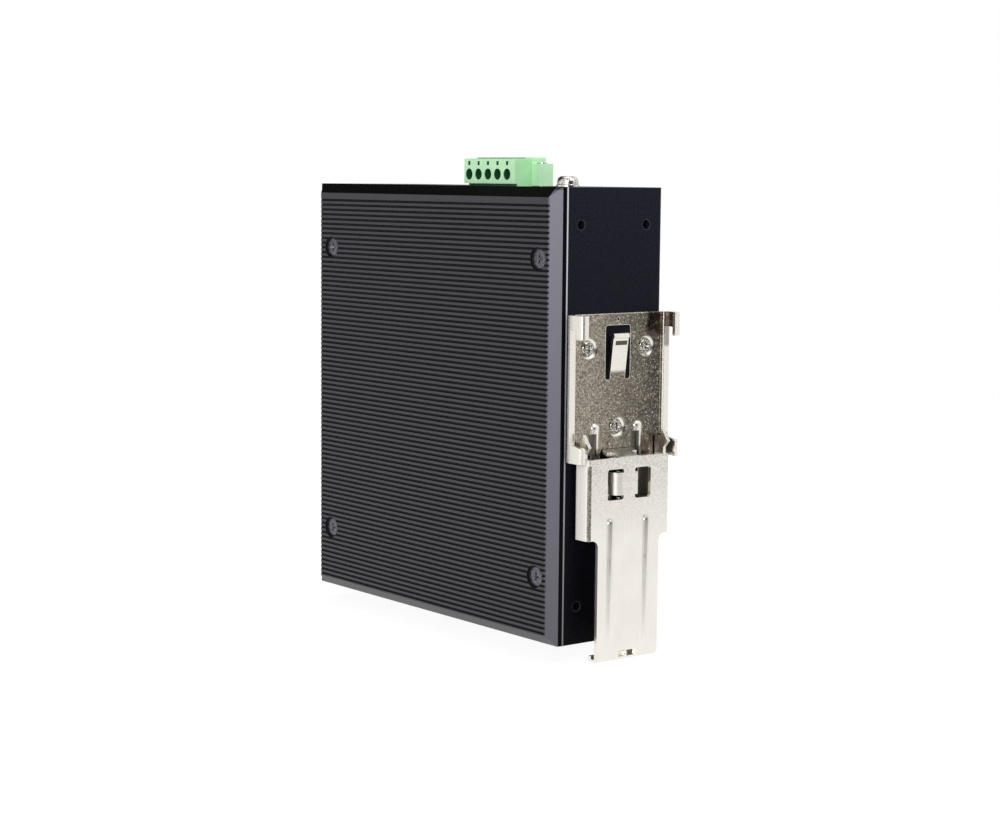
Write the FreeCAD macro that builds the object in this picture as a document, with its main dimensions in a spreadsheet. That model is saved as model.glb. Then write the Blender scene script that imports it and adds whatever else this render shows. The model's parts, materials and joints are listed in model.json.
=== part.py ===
import FreeCAD, Part
import math
import os
import re

import Sketcher

# Managed ethernet switch for a 35 mm DIN rail: folded steel case, ribbed aluminium side cover,
# nickel-plated rail clip with a sprung slider, and a screw-flanged power plug on top.
# Millimetres. The origin is the middle of the rail's seat, +Y points at the rail, +Z is up.

SIZES = {
    # case
    "case_height": 146.0, "case_width": 41.9, "case_depth": 137.0, "case_wall": 1.2,
    "case_bend": 1.5, "rim_back": 16.0, "rim_front": 12.0, "rim_edge": 10.0, "front_tab": 9.0,
    # where the rail seat lies on the back of the case
    "seat_height": 83.4, "clip_inset": 22.5,
    # ribbed side cover
    "cover_thick": 3.3, "rib_pitch": 1.7, "rib_groove": 0.9,
    "groove_floor": 0.3, "groove_depth": 0.45, "cover_screw_back": 8.4, "cover_screw_front": 11.0,
    "cover_screw_top": 22.6, "cover_screw_low": 21.8, "cover_head_r": 3.0, "cover_head_deep": 1.8,
    "recess_r": 3.7,
    # screws: the flat of a head, its straight side and the arms of its recess are shares of the head
    "screw_r": 1.5, "screw_gap": 0.05, "cross_deep": 0.9, "head_flat": 0.72, "head_side": 0.5,
    "cross_long": 0.55, "cross_wide": 0.16, "slot_half": 0.25,
    # wall-mount holes in the back
    "wall_hole_r": 1.55, "wall_hole_apart": 27.4, "wall_hole_inset": 7.5, "wall_hole_top": 11.9,
    "wall_hole_low": 12.3, "collar_wall": 0.75, "collar_deep": 2.0,
    # clip base
    "clip_sheet": 1.2, "lip_step": 1.3, "seat_half": 18.4, "clip_half": 21.0, "clip_high": 22.6,
    "clip_low": 24.1, "hook_reach": 5.7, "hook_leg": 2.8, "hook_bend": 1.4, "slot_top": 17.8,
    "finger_low": 15.1, "finger_back": 2.8, "lug_high": 18.0, "lug_drop": 1.4, "lug_leg": 2.0,
    "joggle_r": 0.5, "window_half": 5.2, "window_low": 1.4, "window_high": 18.8, "window_r": 1.0,
    "tongue_half": 3.2, "tongue_high": 15.9, "tongue_lean": 1.7, "roll_r": 0.95,
    "pilot_high": 20.8, "pilot_r": 0.5, "dimple_r": 3.6, "dimple_deep": 0.7,
    "clip_screw_x": 12.1, "clip_screw_high": 11.6, "clip_screw_low": 13.9, "clip_head_r": 2.4,
    "bead_x": 9.05, "bead_r": 2.4, "bead_proud": 0.8, "bead_high": 11.8,
    "guide_gap": 2.5, "guide_half": 15.8, "guide_low": 47.4, "guide_step": 26.5,
    "spring_slot_half": 4.0, "spring_slot_low": 43.4, "spring_wide_half": 7.0,
    "spring_wide_low": 32.4, "peg_half": 0.9, "peg_high": 2.0,
    # clip slider
    "slider_face": 5.3, "slider_half": 17.3, "slider_top": 23.0, "slider_bend": 1.3,
    "slider_shoulder": 48.9, "shoulder_r": 2.5, "slider_lip_back": 1.5, "slider_lip_half": 13.0,
    "slider_lip_top": 27.4, "handle_half": 12.9, "handle_low": 88.9, "handle_corner_r": 1.0, "curl_in": 3.9,
    "curl_up": 2.2, "curl_r": 1.9, "pull_slot_half": 3.5, "pull_slot_high": 85.8,
    "pull_slot_tall": 1.9, "flap_in": 2.35, "flap_out": 9.1, "flap_high": 26.6, "flap_low": 36.5,
    "flap_reach": 1.5, "flap_curl_r": 3.5, "flap_relief": 1.3, "flap_corner_r": 0.8,
    "rib_x": 7.6, "rib_r": 1.8, "rib_proud": 0.9, "rib_top": 42.2, "rib_end": 82.4,
    "catch_back": 0.9, "catch_root": 17.8, "catch_tip": 15.2,
    "catch_mid": 2.1, "catch_nose": 2.4, "catch_brow": 19.1, "catch_chin": 21.2, "catch_neck": 3.3,
    "seat_tab_half": 4.25, "seat_tab_end_half": 6.3, "seat_tab_rise": 2.1, "seat_tab_back": 0.8,
    "seat_tab_end": 2.2,
    # clip spring
    "spring_r": 1.78, "spring_wire": 0.7, "spring_turns": 8.0,
    # power plug and header
    "pole_pitch": 5.08, "pole_first": 33.7, "plug_face": 4.0, "plug_back": 17.6, "plug_near": 30.5,
    "plug_far": 56.6, "plug_low": 7.5, "plug_lift": 0.75, "plug_high": 8.85, "ridge_x": 9.4,
    "ridge_high": 9.4, "key_x": 6.0, "ear_x": 11.7, "ear_near": 26.6, "ear_far": 61.6,
    "ear_high": 7.35, "ear_lift": 0.15, "ear_fillet": 1.0, "plug_round": 0.4,
    "wire_hole_r": 1.85, "wire_hole_high": 3.8,
    "wire_hole_deep": 3.0, "test_hole_half": 0.65, "test_hole_high": 7.4, "test_hole_deep": 2.5,
    "cage_long": 4.8, "cage_half": 1.9, "cage_low": 1.8, "cage_high": 5.7,
    "cage_hole_r": 1.5, "clamp_screw_r": 1.45, "clamp_well_r": 1.6, "clamp_screw_top": 8.0,
    "cage_gap": 0.1, "lock_screw_r": 1.2, "lock_head_r": 1.6, "lock_head": 1.3, "lock_sink": 1.0,
    "lock_deep": 6.0, "header_sink": 0.2, "header_deep": 18.0, "header_wall": 0.9, "header_end": 1.2,
    "header_floor": 8.0, "pin_half": 0.5, "pin_x": 12.0, "pin_drop": 3.0,
    # ground screw
    "ground_x": 5.6, "ground_y": 4.6, "ground_washer_r": 3.7, "ground_washer_thick": 0.7,
    "ground_head_r": 3.4, "ground_head": 2.7, "ground_length": 6.0,
    # board and what it carries
    "board_gap": 2.0, "board_thick": 1.6, "board_back": 5.0, "board_front": 4.0,
    "board_edge": 8.0, "board_hole_r": 1.6, "spacer_r": 3.0, "spacer_back": 20.0,
    "spacer_front": 104.5, "spacer_low": 17.0, "spacer_top": 24.0, "board_head_r": 2.8,
    "board_head": 1.8, "chip_side": 22.0, "chip_thick": 1.4, "pad_edge": 2.2, "chip_y": 76.0, "chip_z": 62.0,
    "magnetic_long": 12.4, "magnetic_wide": 9.5, "magnetic_tall": 5.5, "magnetic_y": 93.0,
    "capacitor_r": 5.0, "capacitor_tall": 16.0, "capacitor_y": 24.0, "capacitor_z": 84.0,
    "capacitor_pitch": 11.5, "inductor_side": 12.0, "inductor_tall": 8.0, "inductor_y": 44.0,
    "inductor_z": 100.0, "relay_long": 20.0, "relay_wide": 10.0, "relay_tall": 10.5,
    "relay_y": 76.0, "relay_top": 34.0, "jack_wall": 0.8,
    # front panel, jacks and lights
    "jack_high": 43.0, "jack_rows": 4.0, "jack_pitch": 14.0, "jack_block_x": 27.0,
    "jack_depth": 26.0, "jack_proud": 0.4, "jack_first_x": 7.2, "jack_apart": 13.0,
    "socket_half_z": 5.9, "socket_half_x": 4.0, "socket_deep": 13.0, "latch_half": 3.1,
    "latch_deep": 1.4, "shell_thick": 0.3, "shell_gap": 0.1, "panel_gap": 0.3,
    "contact_pitch": 1.02, "contact_half": 0.2, "contact_long": 8.0, "contact_thick": 0.35,
    "light_high": 106.0, "light_pitch": 6.0, "light_r": 1.4, "light_x": 8.4, "light_back": 22.0,
    "light_proud": 0.6, "led_half": 1.0, "led_tall": 0.9,
    "panel_screw_edge": 5.2, "panel_screw_side": 6.0, "panel_head_r": 2.7, "panel_head": 1.7,
}

doc = FreeCAD.newDocument("RailSwitch")
sheet = doc.addObject("Spreadsheet::Sheet", "Sizes")
for row, (alias, size) in enumerate(SIZES.items(), start=1):
    sheet.set("A%d" % row, alias)
    sheet.set("B%d" % row, str(size))
    sheet.setAlias("B%d" % row, alias)
doc.recompute()

# Planes of the case, as expressions in the sheet's names.
RIGHT = "(clip_inset)"
LEFT = "(clip_inset - case_width)"
BACK = "(-clip_sheet - lip_step)"
FRONT = "(-clip_sheet - lip_step - case_depth)"
BOTTOM = "(-seat_height)"
TOP = "(case_height - seat_height)"
BOARD_FACE = "(clip_inset - board_gap - board_thick)"
LOOSE = "(screw_r + screw_gap)"
# A corner's round that takes up nearly the whole edge beside it.
FULL_ROUND = 0.98

NORMALS = {"XY": "%s", "XZ": "-(%s)", "YZ": "%s"}
parts = []


def bound(text):
    """The expression with each of the sheet's names written as the document refers to it."""
    def full(match):
        word = match.group(0)
        return "Sizes." + word if word in SIZES else word
    return re.sub(r"[a-z][a-z_0-9]*", full, str(text))


def number(text):
    """What an expression comes to."""
    return float(sheet.evalExpression(bound(text)))


def tie(thing, prop, text):
    thing.setExpression(prop, bound(text))


def fix(sketch, kind, *args):
    """Adds a dimension to a sketch; its last argument is the expression that it follows."""
    index = sketch.addConstraint(Sketcher.Constraint(kind, *args[:-1], number(args[-1])))
    name = "c%d" % index
    sketch.renameConstraint(index, name)
    tie(sketch, "Constraints." + name, args[-1])


def place(sketch, shape, spot, x, y):
    fix(sketch, "DistanceX", -1, 1, shape, spot, x)
    fix(sketch, "DistanceY", -1, 1, shape, spot, y)


def circle(sketch, x, y, radius):
    disc = Part.Circle(FreeCAD.Vector(number(x), number(y), 0), FreeCAD.Vector(0, 0, 1), number(radius))
    index = sketch.addGeometry(disc, False)
    place(sketch, index, 3, x, y)
    fix(sketch, "Radius", index, radius)


def outline(sketch, corners):
    """A closed outline through corners (x, y) or (x, y, radius), each held by its expressions."""
    points = [FreeCAD.Vector(number(c[0]), number(c[1]), 0) for c in corners]
    count = len(corners)
    starts, ends, arcs = list(points), list(points), {}
    for i, corner in enumerate(corners):
        if len(corner) < 3:
            continue
        radius = number(corner[2])
        before = (points[i - 1] - points[i]).normalize()
        after = (points[(i + 1) % count] - points[i]).normalize()
        half = before.getAngle(after) / 2
        ends[i] = points[i] + before * (radius / math.tan(half))
        starts[i] = points[i] + after * (radius / math.tan(half))
        middle = points[i] + (before + after).normalize() * (radius / math.sin(half))
        arcs[i] = (middle, radius, (ends[i] - middle).cross(starts[i] - middle).z > 0)
    lines = []
    for i in range(count):
        lines.append(sketch.addGeometry(Part.LineSegment(starts[i], ends[(i + 1) % count]), False))
    for i, corner in enumerate(corners):
        before, after = lines[i - 1], lines[i]
        if i not in arcs:
            sketch.addConstraint(Sketcher.Constraint("Coincident", before, 2, after, 1))
            place(sketch, after, 1, corner[0], corner[1])
            continue
        middle, radius, anticlockwise = arcs[i]
        first, last = (ends[i], starts[i]) if anticlockwise else (starts[i], ends[i])
        angles = [math.atan2(p.y - middle.y, p.x - middle.x) for p in (first, last)]
        if angles[1] < angles[0]:
            angles[1] += 2 * math.pi
        ring = Part.Circle(middle, FreeCAD.Vector(0, 0, 1), radius)
        arc = sketch.addGeometry(Part.ArcOfCircle(ring, *angles), False)
        apex = sketch.addGeometry(Part.Point(points[i]), True)
        into, out = (1, 2) if anticlockwise else (2, 1)
        sketch.addConstraint(Sketcher.Constraint("Tangent", before, 2, arc, into))
        sketch.addConstraint(Sketcher.Constraint("Tangent", after, 1, arc, out))
        sketch.addConstraint(Sketcher.Constraint("PointOnObject", apex, 1, before))
        sketch.addConstraint(Sketcher.Constraint("PointOnObject", apex, 1, after))
        place(sketch, apex, 1, corner[0], corner[1])
        fix(sketch, "Radius", arc, corner[2])


class Piece:
    """One PartDesign body whose sketches lie on the origin planes, offset by expressions."""

    def __init__(self, label):
        self.label = label
        self.body = doc.addObject("PartDesign::Body", label)
        self.steps = 0

    def sketch(self, plane, height, loops, circles):
        name = "%s_sketch%d" % (self.label, self.steps)
        sketch = self.body.newObject("Sketcher::SketchObject", name)
        role = plane + "_Plane"
        support = [f for f in self.body.Origin.OriginFeatures if f.Role == role][0]
        sketch.AttachmentSupport = [(support, "")]
        sketch.MapMode = "FlatFace"
        tie(sketch, "AttachmentOffset.Base.z", NORMALS[plane] % height)
        for loop in loops:
            outline(sketch, loop)
        for ring in circles:
            circle(sketch, *ring)
        sketch.Visibility = False
        self.steps += 1
        return sketch

    def pad(self, plane, low, high, loops=(), circles=()):
        """Adds the outlines between two planes across the sketch's normal axis."""
        base = high if plane == "XZ" else low
        sketch = self.sketch(plane, base, loops, circles)
        pad = self.body.newObject("PartDesign::Pad", "%s_pad%d" % (self.label, self.steps))
        pad.Profile = sketch
        tie(pad, "Length", "(%s) - (%s)" % (high, low))
        return pad

    def cut(self, plane, low, high, loops=(), circles=()):
        """Takes the outlines away between two planes across the sketch's normal axis."""
        base = low if plane == "XZ" else high
        sketch = self.sketch(plane, base, loops, circles)
        cut = self.body.newObject("PartDesign::Pocket", "%s_cut%d" % (self.label, self.steps))
        cut.Profile = sketch
        tie(cut, "Length", "(%s) - (%s)" % (high, low))
        return cut

    def revolve(self, kind, origin, axis, loop):
        """Turns an outline about a line through origin along 'X', 'Y' or 'Z'; radius comes first."""
        plane = {"X": "XY", "Y": "XY", "Z": "XZ"}[axis]
        swap = axis == "X"
        loop = [(c[1], c[0]) + tuple(c[2:]) if swap else c for c in loop]
        name = "%s_sketch%d" % (self.label, self.steps)
        sketch = self.body.newObject("Sketcher::SketchObject", name)
        support = [f for f in self.body.Origin.OriginFeatures if f.Role == plane + "_Plane"][0]
        sketch.AttachmentSupport = [(support, "")]
        sketch.MapMode = "FlatFace"
        x, y, z = origin
        flat = (x, y, z) if plane == "XY" else (x, z, "-(%s)" % y)
        for letter, text in zip("xyz", flat):
            tie(sketch, "AttachmentOffset.Base." + letter, text)
        outline(sketch, loop)
        sketch.Visibility = False
        self.steps += 1
        feature = self.body.newObject("PartDesign::" + kind, "%s_turn%d" % (self.label, self.steps))
        feature.Profile = sketch
        feature.ReferenceAxis = (sketch, ["H_Axis" if swap else "V_Axis"])
        feature.Angle = 360
        return feature

    def repeat(self, feature, axis, pitch, count):
        """Repeats the last feature along one of the body's axes."""
        pattern = self.body.newObject("PartDesign::LinearPattern", self.label + "_pattern")
        pattern.Originals = [feature]
        pattern.Direction = ([f for f in self.body.Origin.OriginFeatures if f.Role == axis][0], [""])
        pattern.Mode = "Spacing"
        tie(pattern, "Offset", pitch)
        pattern.Occurrences = count
        self.body.Tip = pattern
        return pattern

    def done(self):
        keep(self.label, self.body)
        return self.body


def keep(label, thing):
    """Takes a finished object as a sub-part of the switch."""
    thing.Label = label
    parts.append(thing)


def rect(x0, x1, y0, y1, radius=None):
    corners = [(x0, y0), (x1, y0), (x1, y1), (x0, y1)]
    if radius is None:
        return corners
    return [corner + (radius,) for corner in corners]


def mirrored(loop):
    """The same outline on the other side of the clip's middle, run the other way round."""
    return [("-(%s)" % c[0],) + tuple(c[1:]) for c in reversed(loop)]


def both(loop):
    return [loop, mirrored(loop)]


def group(label, things):
    """Several separate solids of one kind in one node."""
    compound = doc.addObject("Part::Compound", label)
    compound.Links = things
    keep(label, compound)
    return compound


def plain_box(name, x0, x1, y0, y1, z0, z1):
    box = doc.addObject("Part::Box", name)
    for prop, low, high in (("Length", x0, x1), ("Width", y0, y1), ("Height", z0, z1)):
        tie(box, prop, "(%s) - (%s)" % (high, low))
    for letter, low in (("x", x0), ("y", y0), ("z", z0)):
        tie(box, "Placement.Base." + letter, low)
    return box


def screw(name, axis, side, x, y, z, head_r, head, length, flat=False):
    """A cross-recessed screw whose head starts at a point; side +1 puts the head at the axis's end.

    The shank runs the other way, and a flat (countersunk) head narrows towards it.
    """
    piece = Piece(name)
    top = "%d * (%s)" % (side, head)
    end = "%d * (%s)" % (-side, length)
    if flat:
        loop = [("0", top), (head_r, top), ("screw_r", "0"), ("screw_r", end), ("0", end)]
    else:
        loop = [("0", top), ("(%s) * head_flat" % head_r, top), (head_r, "(%s) * head_side" % top),
                (head_r, "0"), ("screw_r", "0"), ("screw_r", end), ("0", end)]
    piece.revolve("Revolution", (x, y, z), axis, loop)
    arm, thin = "(%s) * cross_long" % head_r, "(%s) * cross_wide" % head_r
    centre = {"X": (y, z), "Y": (x, z), "Z": (x, y)}[axis]
    along = {"X": x, "Y": y, "Z": z}[axis]
    face = "(%s) + %s" % (along, top)
    floor = "(%s) - %d * cross_deep" % (face, side)
    low, high = (floor, face) if side > 0 else (face, floor)
    plane = {"X": "YZ", "Y": "XZ", "Z": "XY"}[axis]
    for wide, tall in ((arm, thin), (thin, arm)):
        u0, u1 = "(%s) - %s" % (centre[0], wide), "(%s) + %s" % (centre[0], wide)
        v0, v1 = "(%s) - %s" % (centre[1], tall), "(%s) + %s" % (centre[1], tall)
        piece.cut(plane, low, high, [rect(u0, u1, v0, v1)])
    return piece.body


def emboss(piece, x, face, back, top, bottom, radius, end_radius, proud):
    """A ribbed embossing that runs down from a round head; end_radius is its radius at the bottom."""
    axis = "%s - (%s) + %s" % (face, radius, proud)
    piece.revolve("Revolution", (x, axis, "0"), "Z",
                  [("0", top), (radius, top, "(%s) * %s" % (radius, FULL_ROUND)), (end_radius, bottom),
                   ("0", bottom)])
    piece.cut("XZ", "%s - (%s)" % (axis, radius), back,
              [rect("%s - (%s)" % (x, radius), "%s + %s" % (x, radius), bottom, top)])


def from_bottom(text):
    return "(%s - seat_height)" % text


def from_top(text):
    return "(case_height - seat_height - (%s))" % text


def from_back(text):
    return "(%s - (%s))" % (BACK, text)


def from_right(text):
    return "(clip_inset - (%s))" % text


# Case: one folded sheet with the left wall, back, top, bottom and a rim that carries the cover.
def make_case():
    case = Piece("case_shell")
    panel = "%s + case_wall" % FRONT
    case.pad("XY", BOTTOM, TOP, [[(LEFT, panel), (RIGHT, panel), (RIGHT, BACK, "case_bend"),
                                  (LEFT, BACK, "case_bend")]])
    inside = rect("%s + case_wall" % LEFT, "%s - case_wall" % RIGHT, "%s + case_wall" % panel,
                  "%s - case_wall" % BACK)
    case.cut("XY", "%s + case_wall" % BOTTOM, "%s - case_wall" % TOP, [inside])
    tabs = rect("%s + case_wall" % LEFT, "%s - case_wall" % RIGHT, "%s + front_tab" % BOTTOM,
                "%s - front_tab" % TOP)
    case.cut("XZ", panel, "%s + case_wall" % panel, [tabs])
    rim = rect("%s + case_wall + rim_front" % panel, "%s - rim_back" % BACK,
               "%s + rim_edge" % BOTTOM, "%s - rim_edge" % TOP, "case_bend")
    case.cut("YZ", "%s - case_wall" % RIGHT, RIGHT, [rim])
    holes = []
    for y, z in COVER_SCREWS:
        holes.append((y, z, LOOSE))
    case.cut("YZ", "%s - case_wall" % RIGHT, RIGHT, circles=holes)
    right_holes = from_right("wall_hole_inset")
    left_holes = from_right("wall_hole_inset + wall_hole_apart")
    spots = [(x, z) for z in (from_bottom("wall_hole_low"), from_top("wall_hole_top"))
             for x in (right_holes, left_holes)]
    inner = "%s - case_wall" % BACK
    collars = [(x, z, "wall_hole_r + collar_wall") for x, z in spots]
    case.pad("XZ", "%s - collar_deep" % inner, inner, circles=collars)
    case.cut("XZ", "%s - collar_deep" % inner, BACK, circles=[(x, z, "wall_hole_r") for x, z in spots])
    clip_holes = [(x, z, LOOSE) for x, z in CLIP_SCREWS]
    case.cut("XZ", inner, BACK, circles=clip_holes)
    plug = rect(from_right("plug_back + header_wall + panel_gap"), from_right("plug_face - header_wall"),
                from_back("ear_far + header_end + panel_gap"),
                from_back("ear_near - header_end - panel_gap"))
    case.cut("XY", "%s - case_wall" % TOP, TOP, [plug],
             [(from_right("ground_x"), from_back("ground_y"), LOOSE)])
    corners = [(x, z, LOOSE) for x, z in PANEL_SCREWS]
    case.cut("XZ", panel, "%s + case_wall" % panel, circles=corners)
    case.done()


CLIP_SCREWS = [("clip_screw_x", "clip_screw_high"), ("-clip_screw_x", "clip_screw_high"),
               ("0", "-clip_screw_low")]
PANEL_SCREWS = [(x, z) for x in ("%s + panel_screw_side" % LEFT, "%s - panel_screw_side" % RIGHT)
                for z in ("%s + panel_screw_edge" % BOTTOM, "%s - panel_screw_edge" % TOP)]
COVER_SCREWS = [(y, z) for y in (from_back("cover_screw_back"), "%s + cover_screw_front" % FRONT)
                for z in (from_bottom("cover_screw_low"), from_top("cover_screw_top"))]


# Cover: an aluminium plate with ribs along its length and all four edges bevelled.
def make_cover():
    cover = Piece("ribbed_cover")
    outer = "%s + cover_thick" % RIGHT
    front = "%s + case_wall" % FRONT
    cover.pad("XY", BOTTOM, TOP, [[(RIGHT, front), (outer, "%s + cover_thick" % front),
                                   (outer, "%s - cover_thick" % BACK), (RIGHT, BACK)]])
    for edge, way in ((BOTTOM, "+"), (TOP, "-")):
        bevel = [(RIGHT, edge), (outer, "%s %s cover_thick" % (edge, way)), (outer, edge)]
        cover.cut("XZ", front, BACK, [bevel])
    count = int((number("case_height") - 2 * number("cover_thick")) / number("rib_pitch"))
    first = "%s + cover_thick + rib_pitch / 2" % BOTTOM
    groove = [("%s - groove_depth" % outer, "%s - groove_floor / 2" % first),
              ("%s - groove_depth" % outer, "%s + groove_floor / 2" % first),
              (outer, "%s + rib_groove / 2" % first), (outer, "%s - rib_groove / 2" % first)]
    feature = cover.cut("XZ", front, BACK, [groove])
    cover.repeat(feature, "Z_Axis", "rib_pitch", count)
    for y, z in COVER_SCREWS:
        loop = [("0", "0"), ("recess_r", "0"), ("recess_r", "-(cover_thick - cover_head_deep) / 2"),
                (LOOSE, "-cover_head_deep"), (LOOSE, "-cover_thick"), ("0", "-cover_thick")]
        cover.revolve("Groove", (outer, y, z), "X", loop)
    cover.done()
    screws = []
    for i, (y, z) in enumerate(COVER_SCREWS):
        seat = "%s - cover_head_deep" % outer
        screws.append(screw("cover_screw%d" % i, "X", 1, seat, y, z, "cover_head_r",
                            "cover_head_deep / 2", "cover_thick - cover_head_deep + case_wall", flat=True))
    group("cover_screws", screws)


SPACERS = [(from_back(y), z) for y in ("spacer_back", "spacer_front")
           for z in (from_bottom("spacer_low"), from_top("spacer_top"))]


# Clip base: one stamping with hooks for the rail's upper edge and a guide for the slider.
def make_clip_base():
    base = Piece("clip_base")
    low, high = "-clip_low", "clip_high"
    rear, face = BACK, "%s + clip_sheet" % BACK
    lip = "-clip_sheet"
    wall = "seat_half + clip_sheet"
    half = [(wall, rear), (wall, lip), ("clip_half", lip), ("clip_half", "0"),
            ("seat_half", "0", "min(joggle_r; (clip_half - seat_half) / 2)"), ("seat_half", face)]
    base.pad("XY", low, high, [half + mirrored(half)])
    inner = "clip_half - clip_sheet"
    for bottom, top, leg in (("finger_low", high, "hook_leg"), (low, "-lug_high", "lug_leg")):
        fin = [(inner, lip), ("clip_half", lip), ("clip_half", "hook_reach", "hook_bend"),
               ("clip_half - %s" % leg, "hook_reach"), ("clip_half - %s" % leg, "hook_reach - clip_sheet"),
               (inner, "hook_reach - clip_sheet", "hook_bend - clip_sheet")]
        base.pad("XY", bottom, top, both(fin))
    beyond = "hook_reach + clip_sheet"
    slot = [("0", "finger_low - clip_sheet"), ("finger_back + joggle_r", "finger_low - clip_sheet"),
            ("finger_back", "finger_low + joggle_r"), ("finger_back", "slot_top", "joggle_r"),
            ("0", "slot_top")]
    base.cut("YZ", "-clip_half", "clip_half", [slot])
    base.cut("YZ", "-clip_half", "clip_half",
             [[("0", "-lug_high"), (beyond, "-lug_high - lug_drop"), (beyond, "-lug_high")]])
    base.cut("XZ", rear, face, [rect("-window_half", "window_half", "window_low", "window_high", "window_r")],
             [("0", "pilot_high", "pilot_r")])
    lean = "%s + tongue_lean" % rear
    tongue = [(rear, "window_low - clip_sheet"), (face, "window_low - clip_sheet"),
              (face, "window_low + clip_sheet"), ("%s + clip_sheet" % lean, "tongue_high"),
              (lean, "tongue_high"), (rear, "window_low + clip_sheet")]
    base.pad("YZ", "-tongue_half", "tongue_half", [tongue])
    base.pad("YZ", "-tongue_half", "tongue_half",
             circles=[("%s + clip_sheet / 2" % lean, "tongue_high - roll_r / 2", "roll_r")])
    for x in ("bead_x", "-bead_x"):
        emboss(base, x, face, rear, "-bead_high", low, "bead_r", "bead_r", "bead_proud")
    # the guide steps forward below the seat, and the slider's lips run behind it
    back, front = "%s + guide_gap" % rear, "%s + guide_gap + clip_sheet" % rear
    step = "-guide_step"
    guide = [(rear, "%s + clip_sheet" % low), (face, "%s + clip_sheet" % low),
             (face, "%s + joggle_r" % low), (front, step), (front, "-guide_low"), (back, "-guide_low"),
             (back, "%s - joggle_r" % step), (rear, low)]
    base.pad("YZ", "-guide_half", "guide_half", [guide])
    opening = [("-spring_slot_half", "-spring_slot_low"), ("spring_slot_half", "-spring_slot_low"),
               ("spring_slot_half", "-spring_wide_low"), ("spring_wide_half", "-spring_wide_low"),
               ("spring_wide_half", "-clip_low + clip_sheet * 2"),
               ("-spring_wide_half", "-clip_low + clip_sheet * 2"),
               ("-spring_wide_half", "-spring_wide_low"), ("-spring_slot_half", "-spring_wide_low")]
    base.cut("XZ", rear, front, [opening])
    base.pad("XZ", back, front, [rect("-peg_half", "peg_half", "-spring_slot_low - joggle_r",
                                      "-spring_slot_low + peg_high")])
    for x, z in CLIP_SCREWS:
        loop = [("0", "0"), ("dimple_r", "0"), ("clip_head_r + screw_gap", "-dimple_deep"),
                (LOOSE, "-dimple_deep"), (LOOSE, "-clip_sheet"), ("0", "-clip_sheet")]
        base.revolve("Groove", (x, face, z), "Y", loop)
    base.done()
    screws = []
    for i, (x, z) in enumerate(CLIP_SCREWS):
        seat = "%s - dimple_deep" % face
        screws.append(screw("clip_screw%d" % i, "Y", 1, x, seat, z, "clip_head_r", "dimple_deep",
                            "clip_sheet - dimple_deep + case_wall * 2"))
    group("clip_screws", screws)


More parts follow.
